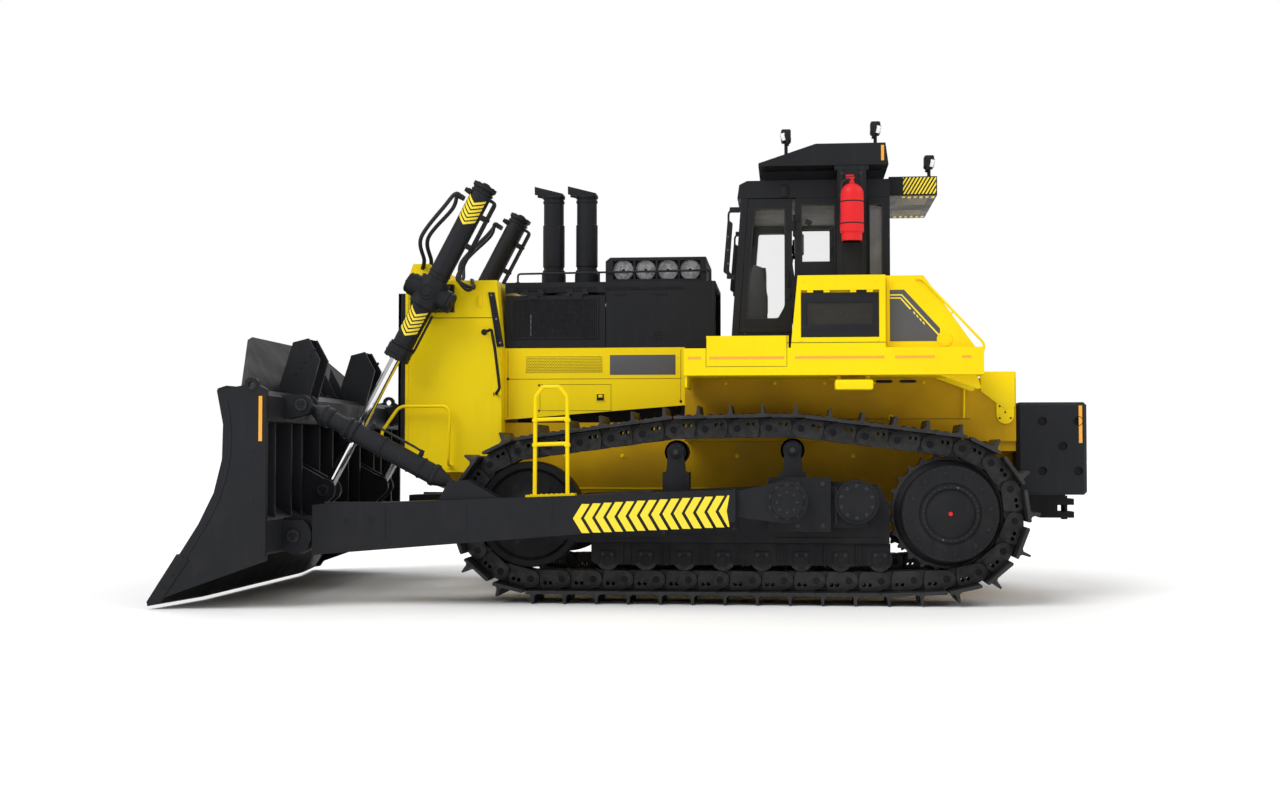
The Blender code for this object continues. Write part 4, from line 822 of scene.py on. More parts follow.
def frame_trim(piece):
    """What is bolted on the track frame's outer side: covers, caps and brackets."""
    trunnion = pivot_of("blade_lift")
    outer = BOX["push_arm_left"][0].x - 0.02
    cover = PIVOT_SHAFT + X * (outer + 0.012)
    piece.washer(cover - X * 0.004, X, 0.212, 0.190, 0.012, IRON, 48)
    piece.disc(cover, X, 0.186, 0.016, IRON, 48, 0.006)
    piece.ring_of_bolts(cover + X * 0.016, X, 0.155, 10, 0.013, IRON)
    cap = Vector((BOX["track_frame_left"][1].x - 0.001, trunnion.y, trunnion.z))
    piece.turned([(-0.055, 0), (-0.055, 0.156), (-0.020, 0.156), (-0.006, 0.145), (0.0, 0.11), (0.0, 0)], cap, X,
                 IRON, 40)
    piece.ring_of_bolts(cap - X * 0.006, X, 0.095, 8, 0.013, IRON)
    for y, z in CARRIERS:
        at = Vector((TRACK_X, y, z))
        half = [(-0.13, 0), (-0.13, 0.117), (-0.110, 0.119), (-0.105, 0.108), (-0.02, 0.108), (-0.015, 0.09)]
        piece.turned(half + [(-x, r) for x, r in half[::-1]], at, X, IRON, 40)
        piece.turned([(0.128, 0), (0.128, 0.098), (0.150, 0.098), (0.158, 0.090), (0.160, 0.060), (0.232, 0.056),
                      (0.240, 0.048), (0.240, 0.0)], at, X, IRON, 40)
        piece.bolt(at + X * 0.239, X, 0.030, IRON, False)
        foot = [(y - 0.132, 1.03), (y + 0.132, 1.03), (y + 0.132, 1.28), (y + 0.095, 1.30), (y + 0.075, z + 0.03),
                (y + 0.045, z + 0.075), (y - 0.045, z + 0.075), (y - 0.075, z + 0.03), (y - 0.095, 1.30),
                (y - 0.132, 1.28)]
        piece.prism(foot, TRACK_X + 0.162, TRACK_X + 0.222, IRON, 0.008)
        for dy in (-0.09, 0.09):
            piece.bolt((TRACK_X + 0.221, y + dy, 1.09), X, 0.014, IRON)
    side = TRACK_X + FRAME_HALF_X
    seams = [(-0.30, 0.35, 0.66, 0.92), (0.40, 1.04, 0.70, 0.96), (-0.86, -0.40, 0.78, 0.96)]
    for y0, y1, z0, z1 in seams:
        piece.block(side - 0.004, side + 0.012, y0, y1, z0, z1, IRON, 0.006)
        for y in (y0 + 0.04, y1 - 0.04):
            for z in (z0 + 0.04, z1 - 0.04):
                piece.bolt((side + 0.011, y, z), X, 0.011, IRON)
    piece.pipe([(side + 0.02, -0.95, 1.03), (side + 0.02, -0.1, 1.085), (side + 0.02, 0.2, 1.10)], 0.014, HOSE, 0.1)
    piece.block(side - 0.003, side + 0.010, 1.40, 2.46, 0.625, 0.655, IRON, 0.004)
    for y in (1.92, 1.99):
        piece.block(outer - 0.062, outer - 0.02, y - 0.012, y + 0.012, 0.78, 1.15, IRON, 0.005)
    yoke = [(trunnion.y + dy, z) for dy, z in ((-0.185, 0.76), (-0.06, 0.72), (0.42, 0.72), (0.42, 1.245),
                                               (0.02, 1.245), (-0.185, 1.17))]
    piece.prism(yoke, outer - 0.035, outer + 0.004, IRON, 0.01)
    for y, z in ((1.62, 0.78), (1.86, 0.78), (1.62, 1.18), (1.86, 1.18)):
        piece.bolt((outer + 0.003, y, z), X, 0.016, IRON)


def undercarriage():
    both_sides(track_chain, "track_chain", "machine", "track_steel", "track")
    both_sides(sprocket, "sprocket_detail", "machine", "engine_iron", "sprocket")
    both_sides(idler, "idler_detail", "machine", "engine_iron", "idler")
    both_sides(bottom_rollers, "roller_detail", "machine", "engine_iron", "bottom_rollers")
    both_sides(frame_trim, "frame_trim", "machine", "black_paint")


# ---------------------------------------------------------------- engine end


def louvres(piece, x, y0, y1, z0, z1, pitch, finish=BLACK):
    """A dark slot with upright bars across it."""
    piece.block(x - 0.004, x + 0.002, y0, y1, z0, z1, PIT)
    count = int((y1 - y0) / pitch)
    for k in range(count + 1):
        y = y0 + (y1 - y0) * k / count
        piece.block(x - 0.002, x + 0.010, y - pitch * 0.22, y + pitch * 0.22, z0, z1, finish)


def frame_round(piece, x, y0, y1, z0, z1, width, proud, finish):
    """A flat raised border round an opening on a side face."""
    for bar in ((y0 - width, y1 + width, z1, z1 + width), (y0 - width, y1 + width, z0 - width, z0),
                (y0 - width, y0, z0, z1), (y1, y1 + width, z0, z1)):
        piece.block(x - 0.004, x + proud, *bar, finish, 0.003)


def latch(piece, x, y, z, finish=BLACK):
    frame_round(piece, x, y - 0.032, y + 0.032, z - 0.030, z + 0.030, 0.010, 0.006, finish)
    piece.block(x - 0.003, x + 0.001, y - 0.032, y + 0.032, z - 0.030, z + 0.030, PIT)
    piece.block(x - 0.002, x + 0.008, y - 0.020, y + 0.020, z - 0.004, z + 0.022, finish, 0.003)


def guard_trim(piece):
    """Flanges, seams, grab handles and plates on the radiator guard's side."""
    low, high = BOX["radiator_guard"]
    x, front, rear = high.x, low.y, high.y
    piece.pipe([(x - 0.02, rear - 0.19, 2.745), (x + 0.07, rear - 0.155, 2.745), (x + 0.08, rear - 0.10, 2.770),
                (x + 0.08, rear - 0.06, 2.55), (x + 0.08, rear - 0.01, 2.15), (x + 0.07, rear - 0.05, 2.10),
                (x - 0.02, rear - 0.06, 2.095)], 0.016, BLACK, 0.05)
    for y, z in ((rear - 0.19, 2.745), (rear - 0.06, 2.095)):
        piece.disc((x - 0.001, y, z), X, 0.032, 0.012, BLACK, 20)
    piece.prism([(rear - 0.085, 2.20), (rear - 0.002, 2.585), (rear - 0.002, low.z + 0.04),
                 (rear - 0.03, low.z + 0.04)], x - 0.004, x + 0.014, YELLOW, 0.004)
    piece.block(x - 0.003, x + 0.016, rear - 0.26, rear - 0.21, 3.016, 3.116, YELLOW, 0.006)
    piece.block(x - 0.003, x + 0.0035, low.y + 0.03, rear - 0.07, 2.894, 2.900, PIT)
    piece.block(x - 0.006, x + 0.008, low.y, low.y + 0.035, low.z + 0.01, 3.20, YELLOW, 0.004)
    piece.prism([(low.y + 0.10, 3.20), (low.y + 0.32, 3.20), (low.y + 0.30, 3.28), (low.y + 0.10, 3.42)],
                x - 0.003, x + 0.008, YELLOW, 0.004)
    for y in (low.y + 0.14, low.y + 0.26):
        piece.bolt((x + 0.007, y, 3.24), X, 0.012, YELLOW)
    side = x + 0.13
    piece.pipe([(side, front - 0.215, 1.62), (side, front - 0.215, 1.70), (side, front - 0.03, 1.967),
                (side, front + 0.46, 1.967), (side, front + 0.505, 1.91), (side, front + 0.485, 1.366),
                (x - 0.02, front + 0.485, 1.34)], 0.017, YELLOW, 0.07)
    piece.block(side - 0.012, side + 0.012, front - 0.24, front - 0.19, 1.575, 1.66, YELLOW, 0.006)
    piece.block(x - 0.05, side - 0.008, front - 0.235, front - 0.205, 1.585, 1.625, BLACK, 0.004)
    piece.disc((side + 0.010, front - 0.215, 1.63), X, 0.018, 0.008, BLACK, 12)
    piece.disc((x - 0.002, front + 0.485, 1.34), X, 0.035, 0.010, YELLOW, 20)
    for k in range(6):
        piece.bolt((x + 0.007, front + 0.018, low.z + 0.16 + k * 0.30), X, 0.009, YELLOW)


def guard_front(piece):
    """Rows of turned-down louvre blades over the grille's openings, and the frame round them."""
    low, high = BOX["radiator_grille"]
    face = low.y
    half = high.x
    for k in range(32):
        z = low.z + 0.06 + k * (high.z - low.z - 0.10) / 32
        piece.prism([(face + 0.012, z), (face + 0.001, z - 0.022), (face + 0.006, z - 0.026),
                     (face + 0.045, z + 0.010)], -half + 0.07, half - 0.07, BLACK)
    for x0, x1 in ((-half, -half + 0.065), (half - 0.065, half), (-0.03, 0.03)):
        piece.block(x0, x1, face + 0.001, face + 0.03, low.z, high.z, BLACK, 0.004)
    for z0, z1 in ((low.z, low.z + 0.05), (high.z - 0.05, high.z)):
        piece.block(-half, half, face + 0.0005, face + 0.03, z0, z1, BLACK, 0.004)
    for x in (-half + 0.033, half - 0.033):
        for k in range(7):
            piece.bolt((x, face + 0.004, low.z + 0.10 + k * 0.27), (0, -1, 0), 0.011, IRON)
    guard_low, guard_high = BOX["radiator_guard"]
    top = guard_high.z
    for k in range(5):
        x = -0.5 + k * 0.24
        piece.block(x, x + 0.03, guard_low.y + 0.09, guard_low.y + 0.25, top - 0.006, top - 0.0005, BLACK, 0.002)


def hood_trim(piece):
    """The dark louvred top strip, door seams and the handrail on top."""
    low, high = BOX["hood"]
    x = BOX["lower_panel_left"][1].x
    front = low.y
    louvres(piece, x, front + 0.10, front + 0.97, 3.185, 3.230, 0.022)
    louvres(piece, x, front + 1.06, front + 1.90, 3.198, 3.228, 0.022)
    for y in (front + 0.30, front + 0.78, front + 1.22, front + 1.66):
        piece.block(x - 0.003, x + 0.010, y - 0.055, y + 0.055, 3.140, 3.162, BLACK, 0.003)
    door_rear = high.y - 1.15
    piece.block(x - 0.002, x + 0.0015, door_rear + 0.006, high.y - 0.02, 3.150, 3.156, PIT)
    piece.block(x - 0.002, x + 0.0015, door_rear + 0.004, door_rear + 0.010, 2.60, 3.150, PIT)
    piece.block(x - 0.002, x + 0.008, high.y - 0.03, high.y - 0.002, 2.60, 3.27, BLACK, 0.004)
    latch(piece, x, 0.176, 2.715)
    piece.block(x - 0.002, x + 0.002, -0.15, -0.06, 2.626, 2.642, PIT)
    piece.block(x - 0.002, x + 0.002, 0.34, 0.43, 2.626, 2.642, PIT)
    strip = [(front - 0.149, 3.162), (front - 0.082, 3.162), (front + 0.021, 2.589), (front - 0.054, 2.589)]
    piece.prism(strip, x + 0.171, x + 0.184, BLACK, 0.003)
    for y, z in ((front - 0.115, 3.13), (front - 0.062, 2.88), (front - 0.020, 2.63)):
        piece.disc((x + 0.183, y, z), X, 0.012, 0.010, RUBBED, 12)
    rail_x = 0.615
    top = high.z
    start = front + 0.13
    end = high.y - 0.06
    piece.pipe([(rail_x, start, top - 0.01), (rail_x, start, top + 0.095), (rail_x, end, top + 0.115),
                (rail_x, end, top - 0.01)], 0.011, BLACK, 0.03)
    piece.tube([(rail_x, 0.5 * (start + end) - 0.15, top - 0.01), (rail_x, 0.5 * (start + end) - 0.15, top + 0.103)],
               0.010, BLACK)
    for y in (start, end):
        piece.disc((rail_x, y, top - 0.001), UP, 0.028, 0.008, BLACK, 16)


def engine_door(piece):
    """A barred grille with a dim shape behind it, a latch and two slots."""
    low, high = BOX["engine_door_left"]
    x = BOX["lower_panel_left"][1].x
    y0, y1 = low.y + 0.075, high.y - 0.085
    z0, z1 = low.z + 0.105, high.z - 0.075
    piece.block(x - 0.006, x + 0.0015, y0, y1, z0, z1, PIT)
    piece.block(x - 0.004, x + 0.0025, y0 + 0.02, y0 + 0.12, z0 + 0.02, z0 + 0.22, IRON)
    piece.turned([(0, 0), (0, 0.055), (0.22, 0.055), (0.22, 0)], (x - 0.052, y0 + 0.19, z0 + 0.02), UP,
                 TRIM_GREY, 16)
    count = 44
    for k in range(count + 1):
        y = y0 + (y1 - y0) * k / count
        piece.block(x + 0.003, x + 0.011, y - 0.0045, y + 0.0045, z0, z1, BLACK)
    for k in range(1, 6):
        z = z0 + (z1 - z0) * k / 6
        piece.block(x + 0.002, x + 0.007, y0, y1, z - 0.004, z + 0.004, BLACK)
    frame_round(piece, x, y0, y1, z0, z1, 0.014, 0.012, BLACK)
    latch(piece, x + 0.003, -0.912, 2.735)
    for y in (-1.21, -0.636):
        piece.block(x - 0.002, x + 0.002, y - 0.045, y + 0.045, 2.628, 2.644, PIT)


def lower_panel(piece):
    """Perforated air intake, service door, seams and rivets on the yellow engine side."""
    low, high = BOX["lower_panel_left"]
    x = high.x
    y0, y1, z0, z1 = low.y + 0.215, low.y + 1.04, 2.322, 2.503
    piece.block(x - 0.003, x + 0.0025, y0, y1, z0, z1, YELLOW, 0.001)
    rows = 11
    columns = 46
    for r in range(rows):
        for c in range(columns):
            y = y0 + 0.012 + (y1 - y0 - 0.030) * (c + 0.5 * (r % 2)) / (columns - 1)
            z = z0 + 0.010 + (z1 - z0 - 0.020) * r / (rows - 1)
            piece.turned([(0, 0), (0, 0.0058), (0.0012, 0.0058), (0.0012, 0)], (x + 0.0020, y, z), X, PIT, 6)
    door_front, door_rear, door_foot, door_top = -1.070, -0.318, 1.925, 2.200
    seams = [(low.y + 0.03, high.y - 0.03, 2.256, 2.261), (low.y + 0.03, low.y + 0.034, 1.86, 2.56),
             (high.y - 0.045, high.y - 0.041, 2.0, 2.56)]
    seams += [(y - 0.002, y + 0.002, door_foot, door_top) for y in (door_front, door_rear)]
    seams += [(door_front, door_rear, z - 0.002, z + 0.002) for z in (door_foot, door_top)]
    for seam in seams:
        piece.block(x - 0.002, x + 0.0012, *seam, PIT)
    for z in (1.925, 2.195):
        piece.disc((x, door_front - 0.012, z), X, 0.010, 0.008, BLACK, 12)
    piece.block(x - 0.003, x + 0.001, -0.468, -0.392, 2.028, 2.098, PIT)
    frame_round(piece, x, -0.468, -0.392, 2.028, 2.098, 0.010, 0.006, YELLOW)
    piece.block(x - 0.003, x + 0.006, -0.452, -0.408, 2.062, 2.092, YELLOW, 0.003)
    for y, z in ((low.y + 0.033, 2.261), (high.y - 0.043, 2.02)):
        piece.disc((x, y, z), X, 0.014, 0.008, BLACK, 12)
    for k in range(4):
        piece.disc((x, high.y - 0.075, 2.06 + k * 0.14), X, 0.010, 0.004, YELLOW, 12, 0.002)
    piece.block(x - 0.002, x + 0.003, -0.33, 0.36, 2.300, 2.508, PANEL_GREY, 0.001)  # a plate, left blank


def stack(piece, label):
    """Sleeves, clamps and a flared foot on one exhaust pipe, with its forward-turned mouth."""
    low, high = BOX[f"exhaust_{label}"]
    y = high.y - 0.13
    base = low.z
    piece.turned([(0.0, 0), (0.0, 0.145), (0.018, 0.145), (0.022, 0.1325), (0.150, 0.1315), (0.160, 0.1215),
                  (0.20, 0.1108), (0.20, 0)], (0, y, base + 0.001), UP, BLACK, 40)
    for z0, z1, radius in ((0.155, 0.205, 0.122), (0.235, 0.88, 0.1185), (0.935, 0.965, 0.118),
                           (0.985, 1.015, 0.1235)):
        piece.washer((0, y, base + z0), UP, radius, 0.100, z1 - z0, BLACK, 40)
        piece.washer((0, y, base + z0 - 0.004), UP, radius - 0.006, 0.100, 0.005, BLACK, 40)
    piece.ring_of_bolts((0, y, base + 0.020), UP, 0.1385, 8, 0.006, IRON, False)
    for x0, x1 in ((-0.101, -0.092), (0.092, 0.101)):
        piece.prism([(y - 0.199, high.z - 0.0005), (y - 0.197, high.z - 0.090), (y - 0.09, high.z - 0.112),
                     (y + 0.04, high.z - 0.080)], x0, x1, BLACK, 0.002)
    piece.block(-0.101, 0.101, y - 0.199, y - 0.188, high.z - 0.012, high.z - 0.001, BLACK, 0.002)


def screens(piece):
    """Four round mesh screens down one side of the pre-cleaner box, each in a dark housing."""
    low, high = BOX["precleaner_box"]
    x = high.x - 0.048
    span = (high.y - 0.05) - (low.y + 0.07)
    piece.block(x, x + 0.004, low.y + 0.07, high.y - 0.05, low.z + 0.03, high.z - 0.03, PIT)
    for k in range(4):
        at = Vector((x + 0.004, low.y + 0.07 + span * (k + 0.5) / 4, low.z + 0.125))
        piece.washer(at, X, 0.119, 0.106, 0.030, BLACK, 40)
        piece.disc(at, X, 0.107, 0.003, SCREEN, 32, 0.001)
        for ring in (0.032, 0.057, 0.082):
            piece.washer(at + X * 0.012, X, ring + 0.0025, ring - 0.0025, 0.004, SCREEN, 28)
        for j in range(16):
            reach = out_at(math.pi * j / 16) * 0.106
            piece.tube([at + X * 0.015 - reach, at + X * 0.015 + reach], 0.0022, SCREEN, 4)
        piece.disc(at + X * 0.010, X, 0.018, 0.012, BLACK, 16)
    for k in range(5):
        y = low.y + 0.07 + span * k / 4
        piece.block(x, high.x - 0.004, y - 0.010, y + 0.010, low.z + 0.03, high.z - 0.03, BLACK, 0.003)
    piece.block(high.x - 0.012, high.x - 0.001, low.y + 0.06, high.y - 0.04, high.z - 0.034, high.z - 0.022,
                BLACK, 0.002)


def box_lid_seams(piece):
    low, high = BOX["precleaner_box"]
    middle = (low.y + high.y) / 2
    piece.block(-0.58, 0.58, middle - 0.004, middle + 0.004, high.z - 0.002, high.z - 0.0003, PIT)
    for y in (low.y + 0.2, middle - 0.15, middle + 0.15, high.y - 0.15):
        piece.block(-0.06, 0.06, y - 0.012, y + 0.012, high.z - 0.004, high.z - 0.0004, BLACK, 0.001)


def engine_end():
    both_sides(guard_trim, "guard_trim", "machine", "yellow_paint")
    single(guard_front, "guard_louvres", "machine", "black_paint")
    both_sides(hood_trim, "hood_trim", "machine", "black_paint")
    both_sides(engine_door, "engine_door_grille", "engine_door", "black_paint")
    both_sides(lower_panel, "engine_panel_trim", "machine", "yellow_paint")
    for label in ("front", "rear"):
        single(lambda piece: stack(piece, label), f"exhaust_trim_{label}", "machine", "black_paint")
    both_sides(screens, "precleaner_screens", "machine", "black_paint")
    single(box_lid_seams, "precleaner_seams", "machine", "black_paint")


# ---------------------------------------------------------------- deck, cab and rear


def stripe_bars(piece, x, y0, y1, z0, z1, count, finish, proud=0.002):
    """Hazard stripes: slanted bars inside a rectangle on a side face."""
    lean = z1 - z0
    step = (y1 - y0) / count
    for k in range(-4, count + 1):
        foot = y0 + step * k
        corners = [(foot, z0), (foot + step * 0.5, z0), (foot + step * 0.5 + lean * 0.6, z1), (foot + lean * 0.6, z1)]
        trimmed = clipped(corners, y0, y1)
        if len(trimmed) > 2:
            piece.prism(trimmed, x, x + proud, finish)


def clipped(corners, y0, y1):
    """A convex (y, z) outline cut to y0 <= y <= y1."""
    for limit, sign in ((y0, 1), (y1, -1)):
        kept = []
        for a, b in zip(corners, corners[1:] + corners[:1]):
            da, db = sign * (a[0] - limit), sign * (b[0] - limit)
            if da >= 0:
                kept.append(a)
            if da * db < 0:
                t = da / (da - db)
                kept.append((a[0] + (b[0] - a[0]) * t, a[1] + (b[1] - a[1]) * t))
        corners = kept
        if not corners:
            break
    return corners


def fender_trim(piece):
    """Reflector strips, panel seams, the step below the fender and its brace."""
    low, high = BOX["fender_left"]
    x = high.x
    for y0, y1 in ((low.y + 0.04, low.y + 0.17), (low.y + 0.25, low.y + 0.98), (1.60, 2.46), (2.56, 2.94),
                   (3.20, 3.29)):
        piece.block(x - 0.002, x + 0.0015, y0, y1, REFLECTOR_Z - 0.013, REFLECTOR_Z + 0.013, TAPE, 0.0005)
    for seam in ((low.y + 0.216, low.y + 0.220, 2.32, 2.60), (low.y + 0.22, 1.52, 2.318, 2.322),
                 (1.520, 1.524, 2.32, 2.62), (1.524, 2.474, 2.548, 2.552)):
        piece.block(x - 0.003, x + 0.0015, *seam, PIT)
    for y, z in ((1.685, 3.15), (2.385, 3.15), (1.66, 2.575), (2.40, 2.575)):
        piece.disc((x - 0.003, y, z), X, 0.014, 0.006, YELLOW, 16, 0.002)
    piece.block(x - 0.34, x - 0.005, 1.985, 2.355, 2.092, 2.190, YELLOW, 0.022)
    for y in (2.03, 2.31):
        piece.block(x - 0.30, x - 0.27, y - 0.02, y + 0.02, 2.18, 2.236, YELLOW, 0.004)
    brace = [(3.0, 2.236), (3.36, 2.236), (3.40, 2.11), (3.36, 2.10)]
    for side in (0.985, 1.55):
        piece.prism(brace, side, side + 0.02, YELLOW, 0.004)
    piece.block(0.985, x - 0.02, low.y + 0.01, low.y + 0.03, 2.12, 2.236, YELLOW, 0.004)
    for y in (2.50, 2.74):
        piece.prism([(y - 0.09, 2.205), (y - 0.07, 2.190), (y + 0.07, 2.190), (y + 0.09, 2.205), (y + 0.07, 2.220),
                     (y - 0.07, 2.220)], 0.949, 0.956, PIT)
    tread = low.z + 0.385
    for r in range(3):
        for c in range(8):
            piece.disc((1.12 + r * 0.2, low.y + 0.30 + c * 0.09, tread), UP, 0.016, 0.006, YELLOW, 8, 0.003)


def box_lid(piece):
    """The side box's lid: a black frame round a smoked pane, with a slotted head bar."""
    low, high = BOX["box_lid_left"]
    x0, x1 = low.x, low.x + 0.030
    z1 = high.z - 0.022
    piece.block(x0, x1, low.y, high.y, low.z, low.z + 0.115, BLACK, 0.006)
    piece.block(x0, x1, low.y, high.y, z1 - 0.095, z1, BLACK, 0.006)
    piece.block(x0, x1, low.y, low.y + 0.05, low.z + 0.11, z1 - 0.09, BLACK, 0.004)
    piece.block(x0, x1, high.y - 0.05, high.y, low.z + 0.11, z1 - 0.09, BLACK, 0.004)
    piece.block(x0 + 0.010, x0 + 0.016, low.y + 0.045, high.y - 0.045, low.z + 0.10, z1 - 0.085, SMOKED)
    for y in (low.y + 0.24, low.y + 0.50):
        piece.block(x1 - 0.001, x1 + 0.001, y - 0.055, y + 0.055, z1 - 0.055, z1 - 0.035, PIT)
    for y in (low.y + 0.010, high.y - 0.010):
        piece.block(x1 - 0.012, x1 + 0.0035, y - 0.010, y + 0.010, z1 - 0.160, z1 - 0.085, BLACK, 0.003)
    for start in (low.y + 0.113, high.y - 0.213):
        piece.turned([(0, 0), (0, 0.010), (0.10, 0.010), (0.10, 0)], (1.728, start, 3.046), (0, 1, 0), IRON, 16)
        piece.block(x1 - 0.008, x1 + 0.002, start, start + 0.10, z1 - 0.004, 3.046, IRON)


def box_inside(piece):
    """What shows through the lid's pane: two batteries."""
    y0 = BOX["box_lid_left"][0].y + 0.06
    for k in range(2):
        piece.block(1.30, 1.60, y0 + 0.02 + k * 0.33, y0 + 0.29 + k * 0.33, 2.642, 2.86, PLASTIC, 0.010)
        for dy in (0.08, 0.22):
            piece.disc((1.45, y0 + dy + k * 0.33, 2.859), UP, 0.014, 0.02, RUBBED, 12)


def rear_trim(piece):
    """The dark side panel with its bent yellow lines, the filler cover, and the rear handrail."""
    low, high = BOX["fuel_tank"]
    x, front = high.x, low.y
    outline = [(front + 0.045, 2.566), (front + 0.045, 3.068), (front + 0.182, 3.071), (front + 0.526, 2.690),
               (front + 0.526, 2.566)]
    piece.prism(outline, x - 0.002, x + 0.0016, PANEL_GREY, 0.0005)
    slope = 1.108  # of the panel's bent edge, down for each metre back
    width = 0.012
    for inset, end in ((0.045, 0.43), (0.075, 0.10)):
        top = 3.070 - inset
        bend = front + 0.182 - inset * 0.42
        foot = top - end * slope
        line = [(front + 0.047, top), (bend, top), (bend + end, foot), (bend + end - 0.012, foot - 0.010),
                (bend - 0.006, top - width), (front + 0.047, top - width)]
        piece.prism(line, x, x + 0.0026, ARROW)
    for k in range(4):
        y = front + 0.182 - 0.031 + 0.12 + k * 0.030
        z = 2.995 - 0.12 * slope - k * 0.033
        piece.prism([(y, z), (y + 0.018, z - 0.020), (y + 0.018, z - 0.040), (y, z - 0.020)], x, x + 0.0026, ARROW)
    filler = Vector((x, front + 0.570, 2.585))
    piece.disc(filler - X * 0.002, X, 0.075, 0.012, YELLOW, 40, 0.004)
    piece.washer(filler + X * 0.009, X, 0.060, 0.048, 0.003, YELLOW, 40)
    piece.ring_of_bolts(filler + X * 0.009, X, 0.066, 6, 0.007, YELLOW, False)
    piece.block(x - 0.002, x + 0.012, front + 0.015, front + 0.030, 2.54, 3.19, YELLOW, 0.003)
    for y, z in ((front + 0.075, 3.145), (front + 0.40, 2.955)):
        piece.disc((x - 0.002, y, z), X, 0.013, 0.006, YELLOW, 14, 0.002)
    out = x + 0.02
    piece.pipe([(x - 0.03, front + 0.285, 3.15), (out, front + 0.30, 3.183), (out, front + 0.36, 3.172),
                (out, front + 0.955, 2.53), (out, front + 0.925, 2.432), (out, front + 0.84, 2.425),
                (x - 0.03, front + 0.82, 2.425)], 0.013, YELLOW, 0.06)
    piece.tube([(out, front + 0.655, 2.853), (x - 0.05, front + 0.60, 2.800)], 0.011, YELLOW)


def hull_trim(piece):
    """Seams, plugs and the rear corner bracket on the hull's side."""
    x = CAB_SIDE
    piece.block(x - 0.004, x + 0.002, 0.60, 3.36, 1.822, 1.827, PIT)
    piece.disc((x - 0.002, 2.57, 1.835), X, 0.030, 0.010, YELLOW, 20)
    piece.bolt((x + 0.007, 2.57, 1.835), X, 0.012, IRON)
    rear = BOX["main_frame"][1].y
    corner = [(rear - 0.36, 2.30), (rear - 0.02, 2.30), (rear - 0.02, 1.95), (rear - 0.10, 1.90), (rear - 0.36, 2.10)]
    piece.prism(corner, x - 0.06, x + 0.020, YELLOW, 0.008)
    plate = [(rear - 0.205, 1.99), (rear - 0.030, 1.99), *arc((rear - 0.1175, 1.86), 0.0875, 0, -180, 10)]
    piece.prism(plate, x - 0.01, x + 0.016, YELLOW, 0.004)
    for dy, z in ((-0.055, 1.95), (0.055, 1.95), (-0.055, 1.83), (0.055, 1.83), (0.0, 1.89)):
        piece.disc((x + 0.015, rear - 0.1175 + dy, z), X, 0.010, 0.004, PIT, 12, 0.001)
    piece.tube([(x + 0.03, 3.30, 2.20), (x + 0.03, 3.29, 1.83)], 0.012, YELLOW)
    for k in range(5):
        piece.bolt((x + 0.002, 0.9 + 0.5 * k, 2.19), X, 0.011, YELLOW)
    low = 0.62
    piece.block(low - 0.004, low + 0.006, -0.9, 2.4, 1.10, 1.118, YELLOW, 0.003)
    for k in range(6):
        piece.bolt((low - 0.001, -0.8 + 0.6 * k, 1.45), X, 0.015, YELLOW)


def rear_gear(piece):
    """The counterweight's plugs, eyes and reflector, and the drawbar's pin."""
    low, high = BOX["counterweight"]
    x = high.x
    for dy, z in ((0.25, 1.80), (0.25, 1.30), (0.45, 1.55), (0.60, 1.80), (0.60, 1.30)):
        piece.washer((x - 0.004, low.y + dy, z), X, 0.052, 0.044, 0.006, BLACK, 24)
    piece.block(x - 0.002, x + 0.0015, high.y - 0.081, high.y - 0.047, 1.580, 1.955, TAPE, 0.0005)
    eye = [(0.30, 0.035), (0.30, 0.002), (0.42, 0.002), (0.42, 0.035)]
    piece.pipe([(x - 0.35, low.y + back, high.z - drop) for back, drop in eye], 0.012, IRON, 0.02)
    piece.block(x - 0.5, x - 0.1, high.y - 0.010, high.y - 0.001, 1.25, 1.80, IRON, 0.004)
    for z in (1.35, 1.70):
        piece.bolt((x - 0.14, high.y - 0.0095, z), (0, 1, 0), 0.009, BLACK, False)


def shelf(piece):
    """Hazard stripes on the rear shelf's sides, and the panelled underside with its dots."""
    low, high = BOX["rear_shelf"]
    x = high.x
    top = 4.316
    piece.block(x - 0.003, x + 0.003, low.y + 0.14, high.y - 0.005, low.z + 0.008, top - 0.004, PIT)
    stripe_bars(piece, x + 0.002, low.y + 0.145, high.y - 0.010, low.z + 0.014, top - 0.010, 9, ARROW)
    for k in range(6):
        y = low.y + 0.14 + k * 0.06
        piece.block(x - 0.16 - 0.02 * (k % 2), x - 0.06, y, y + 0.032, low.z - 0.0015, low.z + 0.002, ARROW)
    piece.block(x - 0.62, x - 0.20, low.y + 0.10, high.y - 0.08, low.z - 0.001, low.z + 0.004, TRIM_GREY)
    lamp_head(piece, 0.65, high.y - 0.07, 4.55 - 0.006, 1)


def lamp_head(piece, x, y, top, turn):
    """A square work lamp tipped towards the ground on its stalk, with a clear lens. Turn is 1 to face the rear."""
    piece.place = Matrix.Translation((x, y, top - 0.066)) @ Matrix.Rotation(math.radians(-14 * turn), 4, "X")
    piece.block(-0.071, 0.071, -0.044, 0.044, -0.052, 0.052, BLACK, 0.010)
    piece.block(-0.062, 0.062, turn * 0.040, turn * 0.058, -0.044, 0.044, LENS, 0.004)
    for side in (-1, 1):
        piece.block(side * 0.0725 - 0.004, side * 0.0725 + 0.004, turn * 0.010, turn * 0.050, -0.046, 0.030, LENS,
                    0.002)
        piece.block(side * 0.075 - 0.005, side * 0.075 + 0.005, -0.016, 0.012, -0.080, 0.015, BLACK, 0.002)
    piece.block(-0.079, 0.079, -0.016, 0.012, -0.086, -0.076, BLACK, 0.003)
    piece.place = Matrix.Identity(4)


